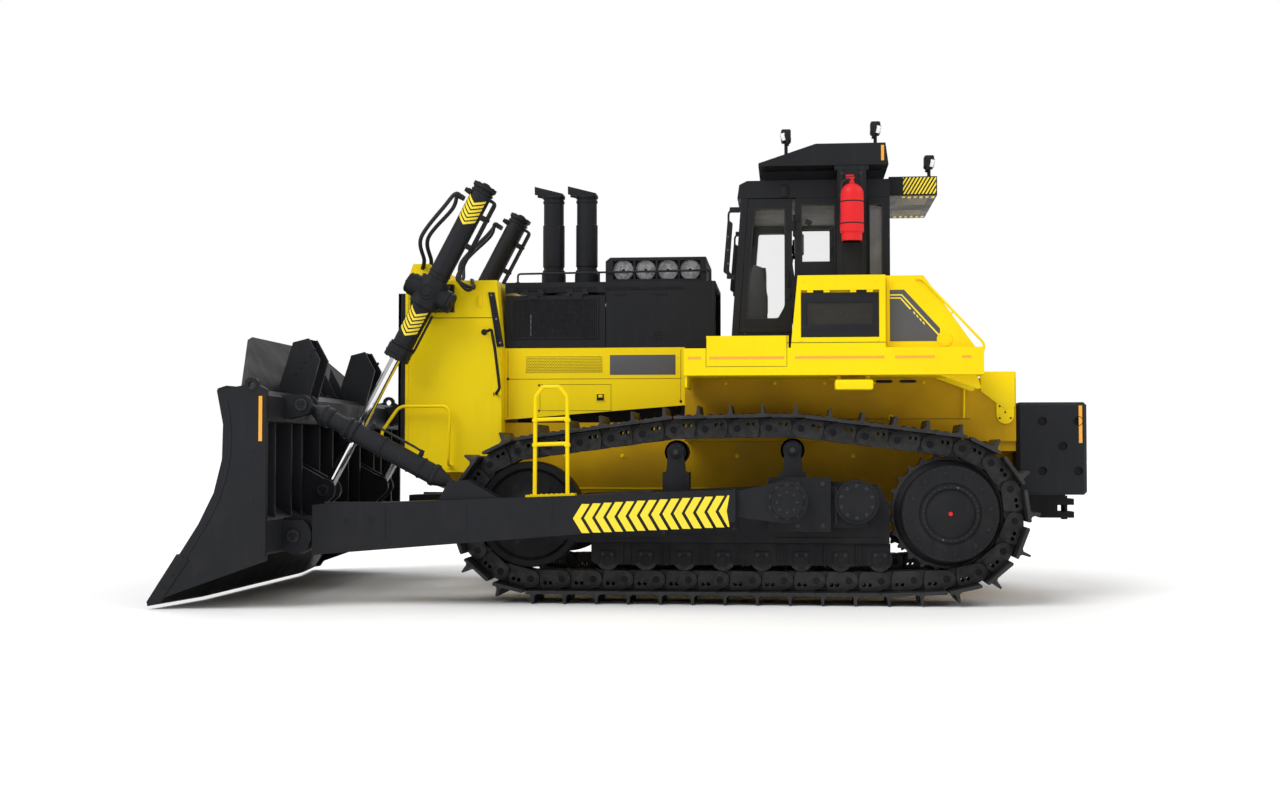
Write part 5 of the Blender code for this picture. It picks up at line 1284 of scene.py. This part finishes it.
def rops_trim(piece):
    """Lamp heads, reflectors, post plates and bolts on the rollover frame."""
    high = BOX["rops_frame"][1]
    x = high.x
    lamp_head(piece, 0.88, 1.518, 4.80, -1)
    lamp_head(piece, 0.88, 2.428, high.z - 0.006, 1)
    piece.block(x - 0.002, x + 0.0012, high.y - 0.075, high.y - 0.045, 4.43, 4.585, TAPE, 0.0005)
    post_x = x - 0.010
    for y in (2.075, 2.281):
        piece.block(post_x - 0.002, post_x + 0.006, y - 0.018, y + 0.018, 2.51, 4.38, BLACK, 0.003)
    foot = 2.503
    piece.block(0.95, 1.115, 2.00, 2.36, foot, foot + 0.025, BLACK, 0.004)
    for y in (2.035, 2.325):
        for k in range(2):
            piece.bolt((1.00 + 0.07 * k, y, foot + 0.024), UP, 0.013, IRON)
    for y, z in ((2.09, 4.30), (2.27, 4.30), (2.18, 4.22)):
        piece.bolt((post_x + 0.005, y, z), X, 0.014, IRON)
    piece.block(0.965, 1.115, 2.005, 2.35, 4.34, 4.392, BLACK, 0.006)


def bottle(piece):
    """A large fire extinguisher in two black straps, with its valve, handle and hose."""
    low, high = BOX["fire_extinguisher"]
    at = Vector((high.x - 0.12, (low.y + high.y) / 2, low.z))
    piece.turned([(0.0, 0), (0.0, 0.098), (0.012, 0.103), (0.075, 0.103), (0.09, 0.118), (0.105, 0.1195),
                  (0.47, 0.1195), (0.505, 0.114), (0.535, 0.098), (0.56, 0.070), (0.575, 0.040), (0.58, 0.0)],
                 at, UP, RED, 48)
    piece.turned([(0.575, 0), (0.575, 0.026), (0.605, 0.026), (0.608, 0.018), (0.635, 0.018), (0.635, 0)], at, UP,
                 RED, 20)
    piece.block(at.x - 0.012, at.x + 0.012, at.y - 0.055, at.y + 0.030, at.z + 0.630, at.z + 0.645, RED, 0.004)
    piece.prism([(at.y - 0.060, at.z + 0.650), (at.y + 0.02, at.z + 0.655), (at.y + 0.02, at.z + 0.668),
                 (at.y - 0.060, at.z + 0.666)], at.x - 0.010, at.x + 0.010, RED, 0.003)
    for z in (0.165, 0.385):
        piece.washer(at + Vector((0, 0, z)), UP, 0.1199, 0.112, 0.018, BLACK, 48)
        piece.block(low.x, at.x - 0.09, at.y - 0.05, at.y + 0.05, at.z + z - 0.006, at.z + z + 0.024, BLACK, 0.004)
    piece.block(low.x, low.x + 0.012, at.y - 0.07, at.y + 0.07, at.z + 0.01, at.z + 0.50, BLACK, 0.004)
    piece.block(low.x, at.x + 0.05, at.y - 0.09, at.y + 0.09, at.z, at.z + 0.010, BLACK, 0.003)
    piece.pipe([at + Vector((0.02, -0.02, 0.62)), at + Vector((0.05, -0.10, 0.60)), at + Vector((0.03, -0.113, 0.40)),
                at + Vector((0.03, -0.110, 0.20))], 0.009, HOSE, 0.05)


def cab_trim(piece):
    """Panes, rubber seals, the roof's edge and the mirror on the cab's side."""
    x = CAB_SIDE
    for y0, y1, z0, z1 in ((1.668, 2.018, 3.42, 4.02), (2.348, 2.498, 2.95, 4.02)):
        piece.block(x - 0.034, x - 0.028, y0, y1, z0, z1, GLASS)
        frame_round(piece, x - 0.008, y0 + 0.014, y1 - 0.014, z0 + 0.014, z1 - 0.014, 0.014, 0.010, HOSE)
    piece.block(x - 0.050, x - 0.044, 2.36, 2.49, 3.25, 4.0, TRIM_GREY)
    piece.block(x - 0.004, x + 0.006, 2.345, 2.365, 2.72, 4.06, BLACK, 0.003)
    piece.disc((x - 0.003, 1.55, 4.13), X, 0.008, 0.006, IRON, 12)
    piece.turned([(0, 0), (0, 0.072), (0.11, 0.072), (0.12, 0.060), (0.12, 0)], (x - 0.045, 1.50, 4.10), UP,
                 BLACK, 28)
    piece.block(x - 0.02, x + 0.004, 1.10, 1.40, 4.105, 4.125, BLACK, 0.004)
    arm = 0.905
    front = BOX["cab_front"][0].y
    piece.pipe([(arm, front + 0.07, 3.98), (arm + 0.03, front - 0.03, 3.97), (arm + 0.03, front - 0.035, 3.32),
                (arm, front + 0.04, 3.30)], 0.011, BLACK, 0.05)
    mirror = [(front - 0.085, 3.34), (front - 0.030, 3.30), (front + 0.012, 3.84), (front - 0.040, 3.88)]
    piece.prism(mirror, arm - 0.02, arm + 0.045, BLACK, 0.010)
    piece.block(arm - 0.03, arm + 0.035, front - 0.020, front + 0.085, 3.955, 4.005, BLACK, 0.006)
    piece.block(arm - 0.03, arm + 0.035, front - 0.050, front + 0.040, 3.27, 3.31, BLACK, 0.006)
    for z in (3.42, 3.56, 3.70):
        piece.disc((arm + 0.044, front - 0.036, z), X, 0.008, 0.006, RUBBED, 10, 0.002)
    piece.pipe([(x - 0.006, 1.62, 2.78), (x + 0.05, 1.64, 2.80), (x + 0.05, 1.64, 3.30), (x - 0.006, 1.63, 3.32)],
               0.013, BLACK, 0.04)


def cab_door(piece):
    """The door's pane, its rubber seal and its handle."""
    low = BOX["cab_door_left"][0]
    x = CAB_SIDE
    sill = 2.85
    front = low.y + 0.07
    back = 1.584 - 0.007 - 0.07
    head = 3.98
    outline = [(front, sill), (back - 0.07, sill), (back, sill + 0.13), (back, head), (front + 0.09, head)]
    piece.prism(outline, x - 0.034, x - 0.028, GLASS)
    corners = [Vector((x - 0.004, y, z)) for y, z in outline]
    piece.tube(rounded(corners + [corners[0]], 0.03), 0.008, HOSE, 8)
    piece.block(x - 0.004, x + 0.012, back + 0.005, back + 0.055, 3.05, 3.12, BLACK, 0.004)
    handle = [(0, 3.18), (0.022, 3.19), (0.022, 3.33), (0, 3.34)]
    piece.pipe([(x + out, back + 0.03, z) for out, z in handle], 0.008, BLACK, 0.02)
    piece.block(x - 0.003, x + 0.003, low.y + 0.02, back + 0.06, 2.715, 2.75, BLACK, 0.002)


def cab_inside(piece):
    """The ceiling, dash, levers, monitor, sun visor and the panes ahead and behind."""
    front = BOX["cab_front"][0].y
    rear = BOX["cab_rear"][1].y
    piece.block(-0.885, 0.885, front + 0.16, rear - 0.07, 4.06, 4.086, TRIM_GREY, 0.006)
    for side in (-1, 1):
        piece.prism([(front + 0.045, 2.82), (front + 0.051, 2.82), (front + 0.128, 3.99), (front + 0.122, 3.99)],
                    side * 0.03, side * 0.86, GLASS)
    piece.block(-0.72, 0.72, rear - 0.034, rear - 0.028, 3.30, 3.96, GLASS)
    dash = [(front + 0.135, 2.72), (front + 0.350, 2.72), (front + 0.350, 3.20), (front + 0.31, 3.452),
            (front + 0.21, 3.49), (front + 0.14, 3.30)]
    piece.prism(dash, -0.305, 0.305, PLASTIC, 0.015)
    piece.block(-0.16, 0.16, front + 0.345, front + 0.356, 3.00, 3.18, PIT, 0.004)
    piece.block(0.40, 0.60, 1.60, 1.66, 3.78, 3.96, TRIM_GREY, 0.008)
    piece.block(0.42, 0.58, 1.655, 1.662, 3.80, 3.94, PIT)
    piece.block(0.44, 0.62, 1.60, 1.70, 3.56, 3.76, TRIM_GREY, 0.010)
    piece.tube([(0.50, 1.64, 3.95), (0.50, 1.64, 4.07)], 0.012, BLACK)
    piece.tube([(0.38, 1.72, 3.93), (0.38, 1.78, 3.90)], 0.030, PLASTIC, 16)
    for side in (-1, 1):
        x = side * 0.325
        top = BOX["operator_seat"][1].z
        piece.pipe([(x, 1.60, top - 0.02), (x, 1.58, top + 0.10), (x, 1.56, top + 0.20)], 0.012, PLASTIC, 0.05)
        piece.turned([(0, 0), (0, 0.020), (0.03, 0.027), (0.08, 0.028), (0.10, 0.018), (0.105, 0)],
                     (x, 1.565, top + 0.17), (0, -0.1, 1), PLASTIC, 20)
        piece.block(x - 0.06, x + 0.06, 1.62, 1.98, top - 0.004, top + 0.03, PLASTIC, 0.012)
        for k in range(3):
            key = x - 0.035 + k * 0.03
            piece.block(key, key + 0.02, 1.66, 1.69, top + 0.028, top + 0.036, TRIM_GREY, 0.002)
    for side in (-0.16, 0.16):
        piece.prism([(front + 0.44, 2.74), (front + 0.47, 2.74), (front + 0.40, 2.90), (front + 0.38, 2.89)],
                    side - 0.06, side + 0.06, PLASTIC, 0.008)


def roof_trim(piece):
    """Seams and bolts on top of the rollover frame, and a strip on the cab's roof."""
    for x in (-0.75, 0.0, 0.75):
        piece.block(x - 0.006, x + 0.006, 1.86, 2.49, ROOF_TOP - 0.004, ROOF_TOP - 0.0003, BLACK, 0.001)
    for x in (-1.0, 1.0):
        for y in (1.95, 2.30):
            piece.bolt((x, y, ROOF_TOP - 0.001), UP, 0.018, IRON)
    piece.block(-0.62, 0.62, 1.06, 1.075, 4.12, 4.22, BLACK, 0.006)


def deck_and_cab():
    both_sides(fender_trim, "fender_trim", "machine", "yellow_paint")
    both_sides(box_lid, "side_box_lid", "box_lid", "black_paint", "box_lid")
    both_sides(box_inside, "side_box_contents", "machine", "engine_iron")
    both_sides(rear_trim, "tank_trim", "machine", "yellow_paint")
    both_sides(hull_trim, "hull_trim", "machine", "yellow_paint")
    both_sides(rear_gear, "counterweight_trim", "machine", "black_paint")
    both_sides(shelf, "shelf_stripes", "machine", "black_paint")
    both_sides(rops_trim, "rops_trim", "machine", "black_paint")
    both_sides(cab_trim, "cab_trim", "machine", "black_paint")
    both_sides(cab_door, "cab_door_pane", "cab_door", "black_paint")
    single(cab_inside, "cab_interior", "machine", "black_paint")
    single(roof_trim, "roof_trim", "machine", "black_paint")
    single(bottle, "extinguisher", "machine", "red_paint", "fire_extinguisher")


# ---------------------------------------------------------------- cylinders, arms and blade


LIFT = pivot_of("lift_barrel_left_swing")
LIFT_WAY = Vector((0, -0.467074, -0.884218))  # down the barrel
LIFT_AHEAD = LIFT_WAY.cross(X).normalized()  # square to the barrel, to the front
ARM_PLANE = BOX["push_arm_left"][1].x


def frame_at(origin, way):
    """A placement whose Z runs along a direction in the YZ plane, and whose X stays the machine's X."""
    z = Vector(way).normalized()
    return Matrix.Translation(origin) @ Matrix((X, z.cross(X), z)).transposed().to_4x4()


def chevrons(piece, origin, way, radius, start, count):
    """Bent yellow stripes on a round barrel, pointing down it."""
    along = Vector(way).normalized()
    front = X.cross(along)
    for k in range(count):
        for half in (-1, 1):
            shape = bmesh.new()
            rows = []
            for j in range(7):
                turn = half * math.radians(9.5) * j
                out = X * math.cos(turn) + front * math.sin(turn)
                drop = start + k * 0.044 - 0.012 * j
                rows.append([shape.verts.new(origin + along * (drop + lift) + out * (radius + rise))
                             for lift, rise in ((0, -0.002), (0.027, -0.002), (0.027, 0.0018), (0, 0.0018))])
            shape.faces.new(rows[0])
            shape.faces.new(rows[-1])
            skin(shape, rows)
            piece.add(shape, ARROW)


def lift_cylinder(piece):
    """Gimbal drums, head cap, gland, pipe clamps, hose ports and warning chevrons."""
    way, across = LIFT_WAY, LIFT_AHEAD
    for side in (-1, 1):
        piece.turned([(0.10, 0), (0.10, 0.118), (0.215, 0.118), (0.222, 0.108), (0.252, 0.108), (0.262, 0.098),
                      (0.262, 0)], LIFT, across * side, BLACK, 36)
        piece.disc(LIFT + across * side * 0.261, across * side, 0.060, 0.008, IRON, 28)
        for turn in turns_of(6):
            at = LIFT + across * side * 0.261 + (X * math.cos(turn) + way * math.sin(turn)) * 0.080
            piece.bolt(at, across * side, 0.010, IRON, False)
    piece.turned([(-0.158, 0.105), (-0.158, 0.146), (-0.150, 0.157), (0.150, 0.157), (0.158, 0.146), (0.158, 0.105)],
                 LIFT, way, BLACK, 36)
    piece.disc(LIFT + X * 0.150, X, 0.085, 0.012, IRON, 36)
    piece.disc(LIFT + X * 0.161, X, 0.045, 0.010, BLACK, 24)
    top = -1.25
    for at, width, radius in ((top + 0.002, 0.055, 0.1275), (top + 0.075, 0.020, 0.121), (-0.235, 0.020, 0.1165),
                              (0.602, 0.024, 0.1285), (0.70, 0.020, 0.1395), (0.745, 0.022, 0.1365)):
        piece.washer(LIFT + way * at, way, radius, 0.105, width, BLACK, 36)
    piece.ring_of_bolts(LIFT + way * 0.767, way, 0.108, 10, 0.010, IRON, False)
    piece.ring_of_bolts(LIFT + way * (top + 0.003), -way, 0.085, 8, 0.011, IRON, False)
    piece.turned([(0, 0), (0, 0.045), (0.020, 0.035), (0.026, 0)], LIFT + way * (top + 0.002), -way, IRON, 24)
    rear = -across
    pipe = [LIFT + way * -1.13 + rear * 0.10, LIFT + way * -1.13 + rear * 0.175, LIFT + way * -0.34 + rear * 0.175]
    for shift in (-0.035, 0.035):
        piece.pipe([p + X * shift for p in pipe], 0.016, BLACK, 0.04)
        for at in (-0.95, -0.62):
            piece.washer(LIFT + way * at + rear * 0.175 + X * shift, way, 0.023, 0.014, 0.035, IRON, 16)
    for at in (-0.95, -0.62):
        piece.place = frame_at(LIFT + way * at, way)
        sign = -1 if piece.place.col[1].xyz.dot(rear) < 0 else 1
        piece.block(-0.055, 0.055, sign * 0.10, sign * 0.165, -0.012, 0.045, BLACK, 0.005)
        piece.place = Matrix.Identity(4)
    lower = [LIFT + way * 0.20 + rear * 0.135, LIFT + way * 0.62 + rear * 0.135, LIFT + way * 0.68 + rear * 0.115]
    piece.pipe(lower, 0.014, BLACK, 0.04)
    for port in (0.045, -0.045):
        at = LIFT + way * (top + 0.13) + X * port
        piece.turned([(0.09, 0), (0.09, 0.030), (0.135, 0.030), (0.140, 0.024), (0.165, 0.024), (0.165, 0)], at,
                     across, IRON, 16)
    chevrons(piece, LIFT, way, 0.11, -1.03, 6)
    chevrons(piece, LIFT, way, 0.11, 0.26, 6)


def lift_hoses(piece):
    """Two long hoses from the barrel's head down over the guard's front edge, held at both ends."""
    way, across = LIFT_WAY, LIFT_AHEAD
    top = LIFT + way * -1.03
    for k, (shift, belly) in enumerate(((0.045, 0.0), (-0.045, -0.06))):
        start = top + X * shift + across * 0.163
        end = Vector((0.70 - k * 0.10, -2.30 + k * 0.05, 3.44))
        route = [start - across * 0.01, start + across * 0.07, start + across * (0.11 + belly) + way * 0.15,
                 (LIFT.x - 0.06 - k * 0.06, -2.26 - belly, 3.72), (0.90 - k * 0.07, -2.26 - belly, 3.50),
                 (0.80 - k * 0.09, -2.30 - belly, 3.42), end + Vector((0, -belly, 0))]
        piece.tube(flowing(route, 8), 0.021, HOSE, 12)
        piece.turned([(0, 0), (0, 0.027), (0.06, 0.027), (0.06, 0)], start - across * 0.012, across, IRON, 12)
    rear = -across
    for k, shift in enumerate((-0.035, 0.035)):
        start = LIFT + way * -0.35 + rear * 0.175 + X * shift
        end = Vector((0.78 - 0.07 * k, -1.78, 3.30))
        route = [start, start + way * 0.10 + rear * 0.03,
                 (LIFT.x - 0.10 - 0.06 * k, -1.78 + 0.03 * k, 3.17 + 0.03 * k), (0.90 - 0.06 * k, -1.74, 3.22), end]
        piece.tube(flowing(route, 8), 0.018, HOSE, 12)


def push_arm(piece):
    """Forward arrows, weld seams, the rear ball housing's bolts and the front eye's ring."""
    x = ARM_PLANE
    front = BOX["push_arm_left"][0].y
    arrows, step, notch = 14, 0.107, 0.085
    width = step * 0.70
    tip = front + 2.925
    limit = tip + step * arrows - 0.006
    for k in range(arrows):
        y = tip + step * k
        top = 0.992 + (y - tip) * 0.062
        bottom = 0.716 + (y - tip) * 0.046
        middle = (top + bottom) / 2
        outline = [(y, middle), (y + notch, top), (y + notch + width, top), (y + width, middle),
                   (y + notch + width, bottom), (y + notch, bottom)]
        piece.prism([(min(a, limit), b) for a, b in outline], x - 0.002, x + 0.0015, ARROW)
    piece.block(x - 0.14, x + 0.002, 1.005, 1.035, 0.835, 1.13, BLACK, 0.006)
    hinge = pivot_of("blade_pitch")
    trunnion = pivot_of("blade_lift")
    centre = Vector((ARM_X, trunnion.y, trunnion.z))
    piece.washer(centre + X * 0.083, X, 0.198, 0.112, 0.014, BLACK, 44)
    piece.ring_of_bolts(centre + X * 0.096, X, 0.155, 10, 0.015, IRON)
    piece.washer((ARM_X + 0.083, hinge.y, hinge.z), X, 0.180, 0.080, 0.006, BLACK, 40)
    for y, low, high in ((-2.35, 0.65, 0.965), (-1.55, 0.74, 0.99), (-0.72, 0.80, 1.0)):
        piece.block(x - 0.003, x + 0.004, y, y + 0.012, low, high, BLACK, 0.002)
    for y in (-2.72, -2.48):
        piece.washer(Vector((x - 0.001, y, 0.83)), X, 0.026, 0.016, 0.006, BLACK, 20)
    piece.block(x - 0.05, x - 0.005, -2.95, -2.2, 0.955, 1.005, BLACK, 0.005)


def rail_pads(piece):
    """Grip plates and clamp straps on the boarding rail."""
    low, high = BOX["boarding_rail_left"]
    x = (low.x + high.x) / 2
    for k in range(9):
        y = low.y + 0.045 + k * 0.050
        z = 1.0745 + (y - low.y) * 0.0295
        piece.disc((x, y, z), UP, 0.011, 0.005, YELLOW, 8, 0.002)
    piece.tube([(x, low.y + 0.085, 1.80), (x, high.y - 0.085, 1.81)], 0.0195, YELLOW, 12)
    for y in (low.y + 0.083, high.y - 0.083):
        for z in (1.56, 1.80):
            piece.washer(Vector((x, y, z - 0.02)), UP, 0.030, 0.019, 0.04, YELLOW, 16)


def brace(piece):
    """Collars, ring nuts and hose ports on the tilt cylinder's barrel."""
    rear = TILT_REAR
    ahead = (TILT_FRONT - rear).normalized()
    up = ahead.cross(X).normalized()
    for at, width, radius in ((0.27, 0.05, 0.112), (0.42, 0.025, 0.108), (0.86, 0.025, 0.108), (1.17, 0.05, 0.118),
                              (1.245, 0.040, 0.112)):
        piece.washer(rear + ahead * at, ahead, radius, 0.095, width, BLACK, 36)
    piece.ring_of_bolts(rear + ahead * 1.284, ahead, 0.103, 8, 0.008, IRON, False)
    for at in (0.50, 1.05):
        piece.turned([(0.09, 0), (0.09, 0.026), (0.13, 0.026), (0.135, 0.020), (0.16, 0.020), (0.16, 0)],
                     rear + ahead * at, up, IRON, 16)
    piece.pipe([rear + ahead * 0.52 + up * 0.145, rear + ahead * 0.60 + up * 0.15, rear + ahead * 1.0 + up * 0.15,
                rear + ahead * 1.05 + up * 0.14], 0.012, HOSE, 0.03)


def brace_head(piece):
    """Collars and the pin's cap on the tilt rod's eye."""
    back = (TILT_REAR - TILT_FRONT).normalized()
    for at, radius in ((0.205, 0.108), (0.262, 0.106)):
        piece.washer(TILT_FRONT + back * at, back, radius, 0.09, 0.03, BLACK, 32)
    piece.disc(TILT_FRONT + X * 0.068, X, 0.055, 0.006, IRON, 24)


def blade_trim(piece):
    """Ribs, gussets, end bits, reflectors, bolts and pin caps on the blade."""
    x = BOX["blade"][1].x
    rear = BLADE_REAR
    piece.block(x - 0.002, x + 0.0015, rear - 0.080, rear - 0.045, 1.590, 2.016, TAPE, 0.0005)
    gusset = [(-3.913, 0.695), (-3.707, 0.452), (-4.060, 0.440)]
    piece.prism(gusset, x - 0.25, x - 0.064, BLACK, 0.006)
    face = arc(MOULD_CENTRE, MOULD_RADIUS, 13, 13 - 5.7 * 8, 8) + [(-4.185, 0.44)]
    inner = [(y + 0.024, z) for y, z in face[::-1]]
    piece.prism(face + inner, x - 0.004, x + 0.006, BLACK, 0.002)
    bit = [(-4.220, 0.520), (-4.110, 0.470), (-4.395, 0.052), (-4.500, 0.034)]
    piece.prism(bit, x - 0.050, x + 0.009, BLACK, 0.004)
    for y, z in ((-4.190, 0.43), (-4.265, 0.32), (-4.340, 0.21)):
        piece.disc((x + 0.0085, y, z), X, 0.020, 0.001, IRON, 12, 0.0004)
    piece.block(x - 0.003, x + 0.008, rear - 0.028, rear - 0.004, 0.50, 2.04, BLACK, 0.003)
    for z in (0.62, 1.02, 1.42, 1.50, 2.04):
        piece.disc((x - 0.002, rear - 0.14, z), X, 0.020, 0.006, BLACK, 18, 0.002)
    eye = Vector((x - 0.06, rear - 0.15, 2.12))
    piece.washer(eye + X * 0.059, X, 0.058, 0.036, 0.006, BLACK, 28)
    for rib in (0.30, 0.78, 1.40, 1.74, 2.25):
        sweep = max(0.0, rib - SWEEP_START) * 0.145
        plate = [(-3.68, 1.70), (-3.60, 1.60), (-3.61, 1.40), (-3.655, 1.20), (-3.715, 1.02)]
        inside = [(y - sweep, z) for y, z in plate]
        piece.prism([*inside, (-3.58, 0.90), (rear - 0.03, 0.86), (rear - 0.03, 1.80), (-3.60, 1.80)],
                    rib, rib + 0.035, BLACK, 0.006)
    for rib in (0.55, 1.10, 1.66):
        piece.block(rib, rib + 0.30, rear - 0.006, rear + 0.002, 1.82, 1.98, BLACK, 0.002)
    for pin in ((ARM_X + 0.135, TILT_FRONT.y, TILT_FRONT.z), (ARM_X + 0.17, -3.25, 0.676),
                (1.10 + 0.16, -3.225, 1.10)):
        spot = Vector(pin) - X * 0.002
        piece.disc(spot, X, 0.060, 0.014, IRON, 28)
        # painted highlight: the ring round each pin cap takes the bolts' lighter charcoal
        piece.washer(spot + X * 0.0135, X, 0.058, 0.046, 0.004, HIGHLIT_BOLT, 28)
        piece.ring_of_bolts(spot + X * 0.013, X, 0.038, 3, 0.009, IRON, False)
    for k in range(5):
        y = rear - 0.15 + 0.050 * k
        piece.bolt((1.10 + 0.169, y, 2.30 + 0.06 * k), X, 0.012, BLACK)
    for rib in (0.25, 0.62):
        piece.prism([(-3.74, 2.16), (-3.52, 2.10), (-3.70, 2.45)], rib, rib + 0.03, BLACK, 0.005)


def edge_bits(piece):
    """The plough bolts along the cutting edge, and the bolts of the wider end bit at its corner."""
    down = Vector((0, -0.5388, -0.8425))
    out = Vector((0, -0.8425, 0.5388))
    start = Vector((0, -4.268, 0.493))
    for k in range(9):
        x = 0.14 + k * 0.17
        for row in (0.06, 0.22):
            spot = start + Vector((x, 0.15, 0)) + down * row
            piece.disc(spot - out * 0.004, out, 0.020, 0.007, IRON, 12, 0.002)
    for k in range(3):
        x = 1.75 + k * 0.28
        lean = 0.15 * (BLADE_HALF - x) / (BLADE_HALF - SWEEP_START)
        for row in (0.06, 0.20, 0.33):
            spot = start + Vector((x, lean, 0)) + down * row
            piece.disc(spot - out * 0.004, out, 0.022, 0.007, IRON, 12, 0.002)


# ---------------------------------------------------------------- seat


def pillow(name, low, high, channels=3):
    """A crowned cushion inside a box: soft corners, a bolster each side, sewn channels and piping."""
    size = high - low
    centre = (low + high) / 2
    shape = bmesh.new()
    bmesh.ops.create_cube(shape, size=2.0)
    bmesh.ops.subdivide_edges(shape, edges=shape.edges[:], cuts=15, use_grid_fill=True)
    half = size / 2
    for vert in shape.verts:
        u, v, w = vert.co  # across, along and up, each from -1 to 1
        crown = (1 - u ** 4) * (1 - v ** 4)
        pull = 1 - 0.035 * (1 - abs(u * v)) * (1 - abs(w))
        side = 1 - 0.10 * abs(w) ** 3
        x = u * side * pull
        y = v * side * pull
        z = w * (0.72 + 0.28 * crown)
        if w > 0:
            dip = 0.0
            for k in range(channels):
                at = -0.62 + 1.24 * k / max(1, channels - 1)
                dip = max(dip, math.exp(-((v - at) / 0.035) ** 2) * (abs(u) < 0.66))
            bolster = math.exp(-((abs(u) - 0.66) / 0.030) ** 2)
            z -= (0.11 * dip + 0.13 * bolster) * crown
            z -= 0.10 * max(0.0, 1 - (u / 0.62) ** 2) * crown
        vert.co = Vector((x * half.x, y * half.y, z * half.z))
    bmesh.ops.smooth_vert(shape, verts=shape.verts[:], factor=0.35, use_axis_x=True, use_axis_y=True, use_axis_z=True)
    piece = Piece(name)
    piece.add(shape, CLOTH)
    rim = []
    for t in turns_of(48):
        x, y = (math.copysign(abs(c) ** 0.35, c) * 0.955 for c in (math.cos(t), math.sin(t)))
        rim.append((x * half.x, y * half.y, half.z * 0.40))
    piece.tube(rim + rim[:1], 0.0045, PLASTIC, 8)
    return piece, centre


def seat():
    """Foam cushions in woven cloth, kept inside the room the solids hold."""
    low, high = BOX["seat_cushion"]
    piece, centre = pillow("seat_cushion_cover", low, high)
    made = piece.object()
    made.data.transform(Matrix.Translation(centre))
    mounted(made, "machine", "seat_fabric", "seat_cushion")
    low, high = BOX["seat_backrest"]
    tall = math.hypot(high.z - low.z, 0.11)
    corner = Vector((0.23, tall / 2 - 0.008, 0.055))
    piece, _ = pillow("seat_backrest_cover", -corner, corner, channels=4)
    made = piece.object()
    lean = math.atan2(0.105, high.z - low.z)
    turn = Matrix.Rotation(math.radians(90) - lean, 4, "X")
    middle = Vector((0, (low.y + high.y) / 2, (low.z + high.z) / 2))
    made.data.transform(Matrix.Translation(middle) @ turn)
    mounted(made, "machine", "seat_fabric", "seat_backrest")


def working_end():
    both_sides(lift_cylinder, "lift_cylinder_trim", "lift_barrel", "black_paint")
    hoses = Piece("lift_hoses_left")
    lift_hoses(hoses)
    left = hoses.object()
    right = mirrored(left, "lift_hoses_right")
    for piece, side, sign in ((left, "left", 1), (right, "right", -1)):
        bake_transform(piece)
    both_sides(push_arm, "push_arm_trim", "push_arms", "black_paint")
    both_sides(rail_pads, "boarding_rail_trim", "push_arms", "yellow_paint")
    both_sides(brace, "tilt_cylinder_trim", "brace_barrel", "black_paint")
    both_sides(brace_head, "tilt_rod_trim", "brace_rod", "black_paint")
    both_sides(blade_trim, "blade_trim", "blade", "black_paint")
    both_sides(edge_bits, "edge_bolts", "blade", "black_paint")
    seat()


def carried_over():
    """Finishes for the CAD nodes that still show."""
    finishes = (
        (YELLOW, "radiator_guard fuel_tank lower_panel_ fender_ boarding_rail_"),
        # painted shade: the hull gets the darker copy of the yellow paint
        (SHADED, "main_frame"),
        (IRON, "engine_block drawbar track_frame_ lift_yoke_ equalizer_bar sprocket_ idler_ bottom_rollers_"),
        (CHROME, "lift_rod_"),
        (TRACK, "track_left track_right"),
        (RED, "fire_extinguisher"),
        (CLOTH, "seat_cushion seat_backrest"),
        (PLASTIC, "operator_seat"),
    )
    for name, node in frame["nodes"].items():
        chosen = BLACK
        for finish, starts in finishes:
            if name.startswith(tuple(starts.split())):
                chosen = finish
        node.data.materials.clear()
        node.data.materials.append(chosen)


# ---------------------------------------------------------------- studio


def studio():
    """A pale floor that runs out of sight, a white surround and three broad soft lamps."""
    shape = Piece("floor_plane")
    shape.turned([(-0.02, 0), (-0.02, 400), (-0.0005, 400), (-0.0005, 0)], (0, 0, 0), UP, FLOOR, 96)
    shape.object()
    world = bpy.data.worlds.new("studio")
    bpy.context.scene.world = world
    world.use_nodes = True
    tree = world.node_tree
    sky = tree.nodes["Background"]
    sky.inputs["Color"].default_value = (1, 1, 1, 1)
    sky.inputs["Strength"].default_value = WORLD_LIGHT
    seen = tree.nodes.new("ShaderNodeBackground")
    seen.inputs["Color"].default_value = (1, 1, 1, 1)
    path = tree.nodes.new("ShaderNodeLightPath")
    either = tree.nodes.new("ShaderNodeMixShader")
    tree.links.new(path.outputs["Is Camera Ray"], either.inputs[0])
    tree.links.new(sky.outputs[0], either.inputs[1])
    tree.links.new(seen.outputs[0], either.inputs[2])
    tree.links.new(either.outputs[0], tree.nodes["World Output"].inputs["Surface"])
    for place, spread, power in (((10, -8, 14), 38, 1.75), ((3, 12, 12), 50, 0.80), ((-12, -2, 15), 50, 0.8)):
        light = bpy.data.lights.new("softbox", "SUN")
        light.angle = math.radians(spread)
        light.energy = power
        holder = linked("softbox", light)
        holder.location = place
        holder.rotation_euler = (Vector((0, 0, 1.5)) - Vector(place)).to_track_quat("-Z", "Y").to_euler()


def camera():
    """A long lens level with the tracks, square on to the left side and turned a little to the front."""
    optics = bpy.data.cameras.new("camera")
    optics.lens = CAMERA_LENS
    optics.clip_end = 1000
    holder = linked("camera", optics)
    holder.location = CAMERA_PLACE
    level = math.cos(CAMERA_RISE)
    ahead = Vector((-math.cos(CAMERA_YAW) * level, -math.sin(CAMERA_YAW) * level, math.sin(CAMERA_RISE)))
    holder.rotation_euler = ahead.to_track_quat("-Z", "Y").to_euler()
    bpy.context.scene.camera = holder


bpy.context.scene.view_settings.view_transform = "Standard"

undercarriage()
engine_end()
deck_and_cab()
working_end()
carried_over()
studio()
camera()
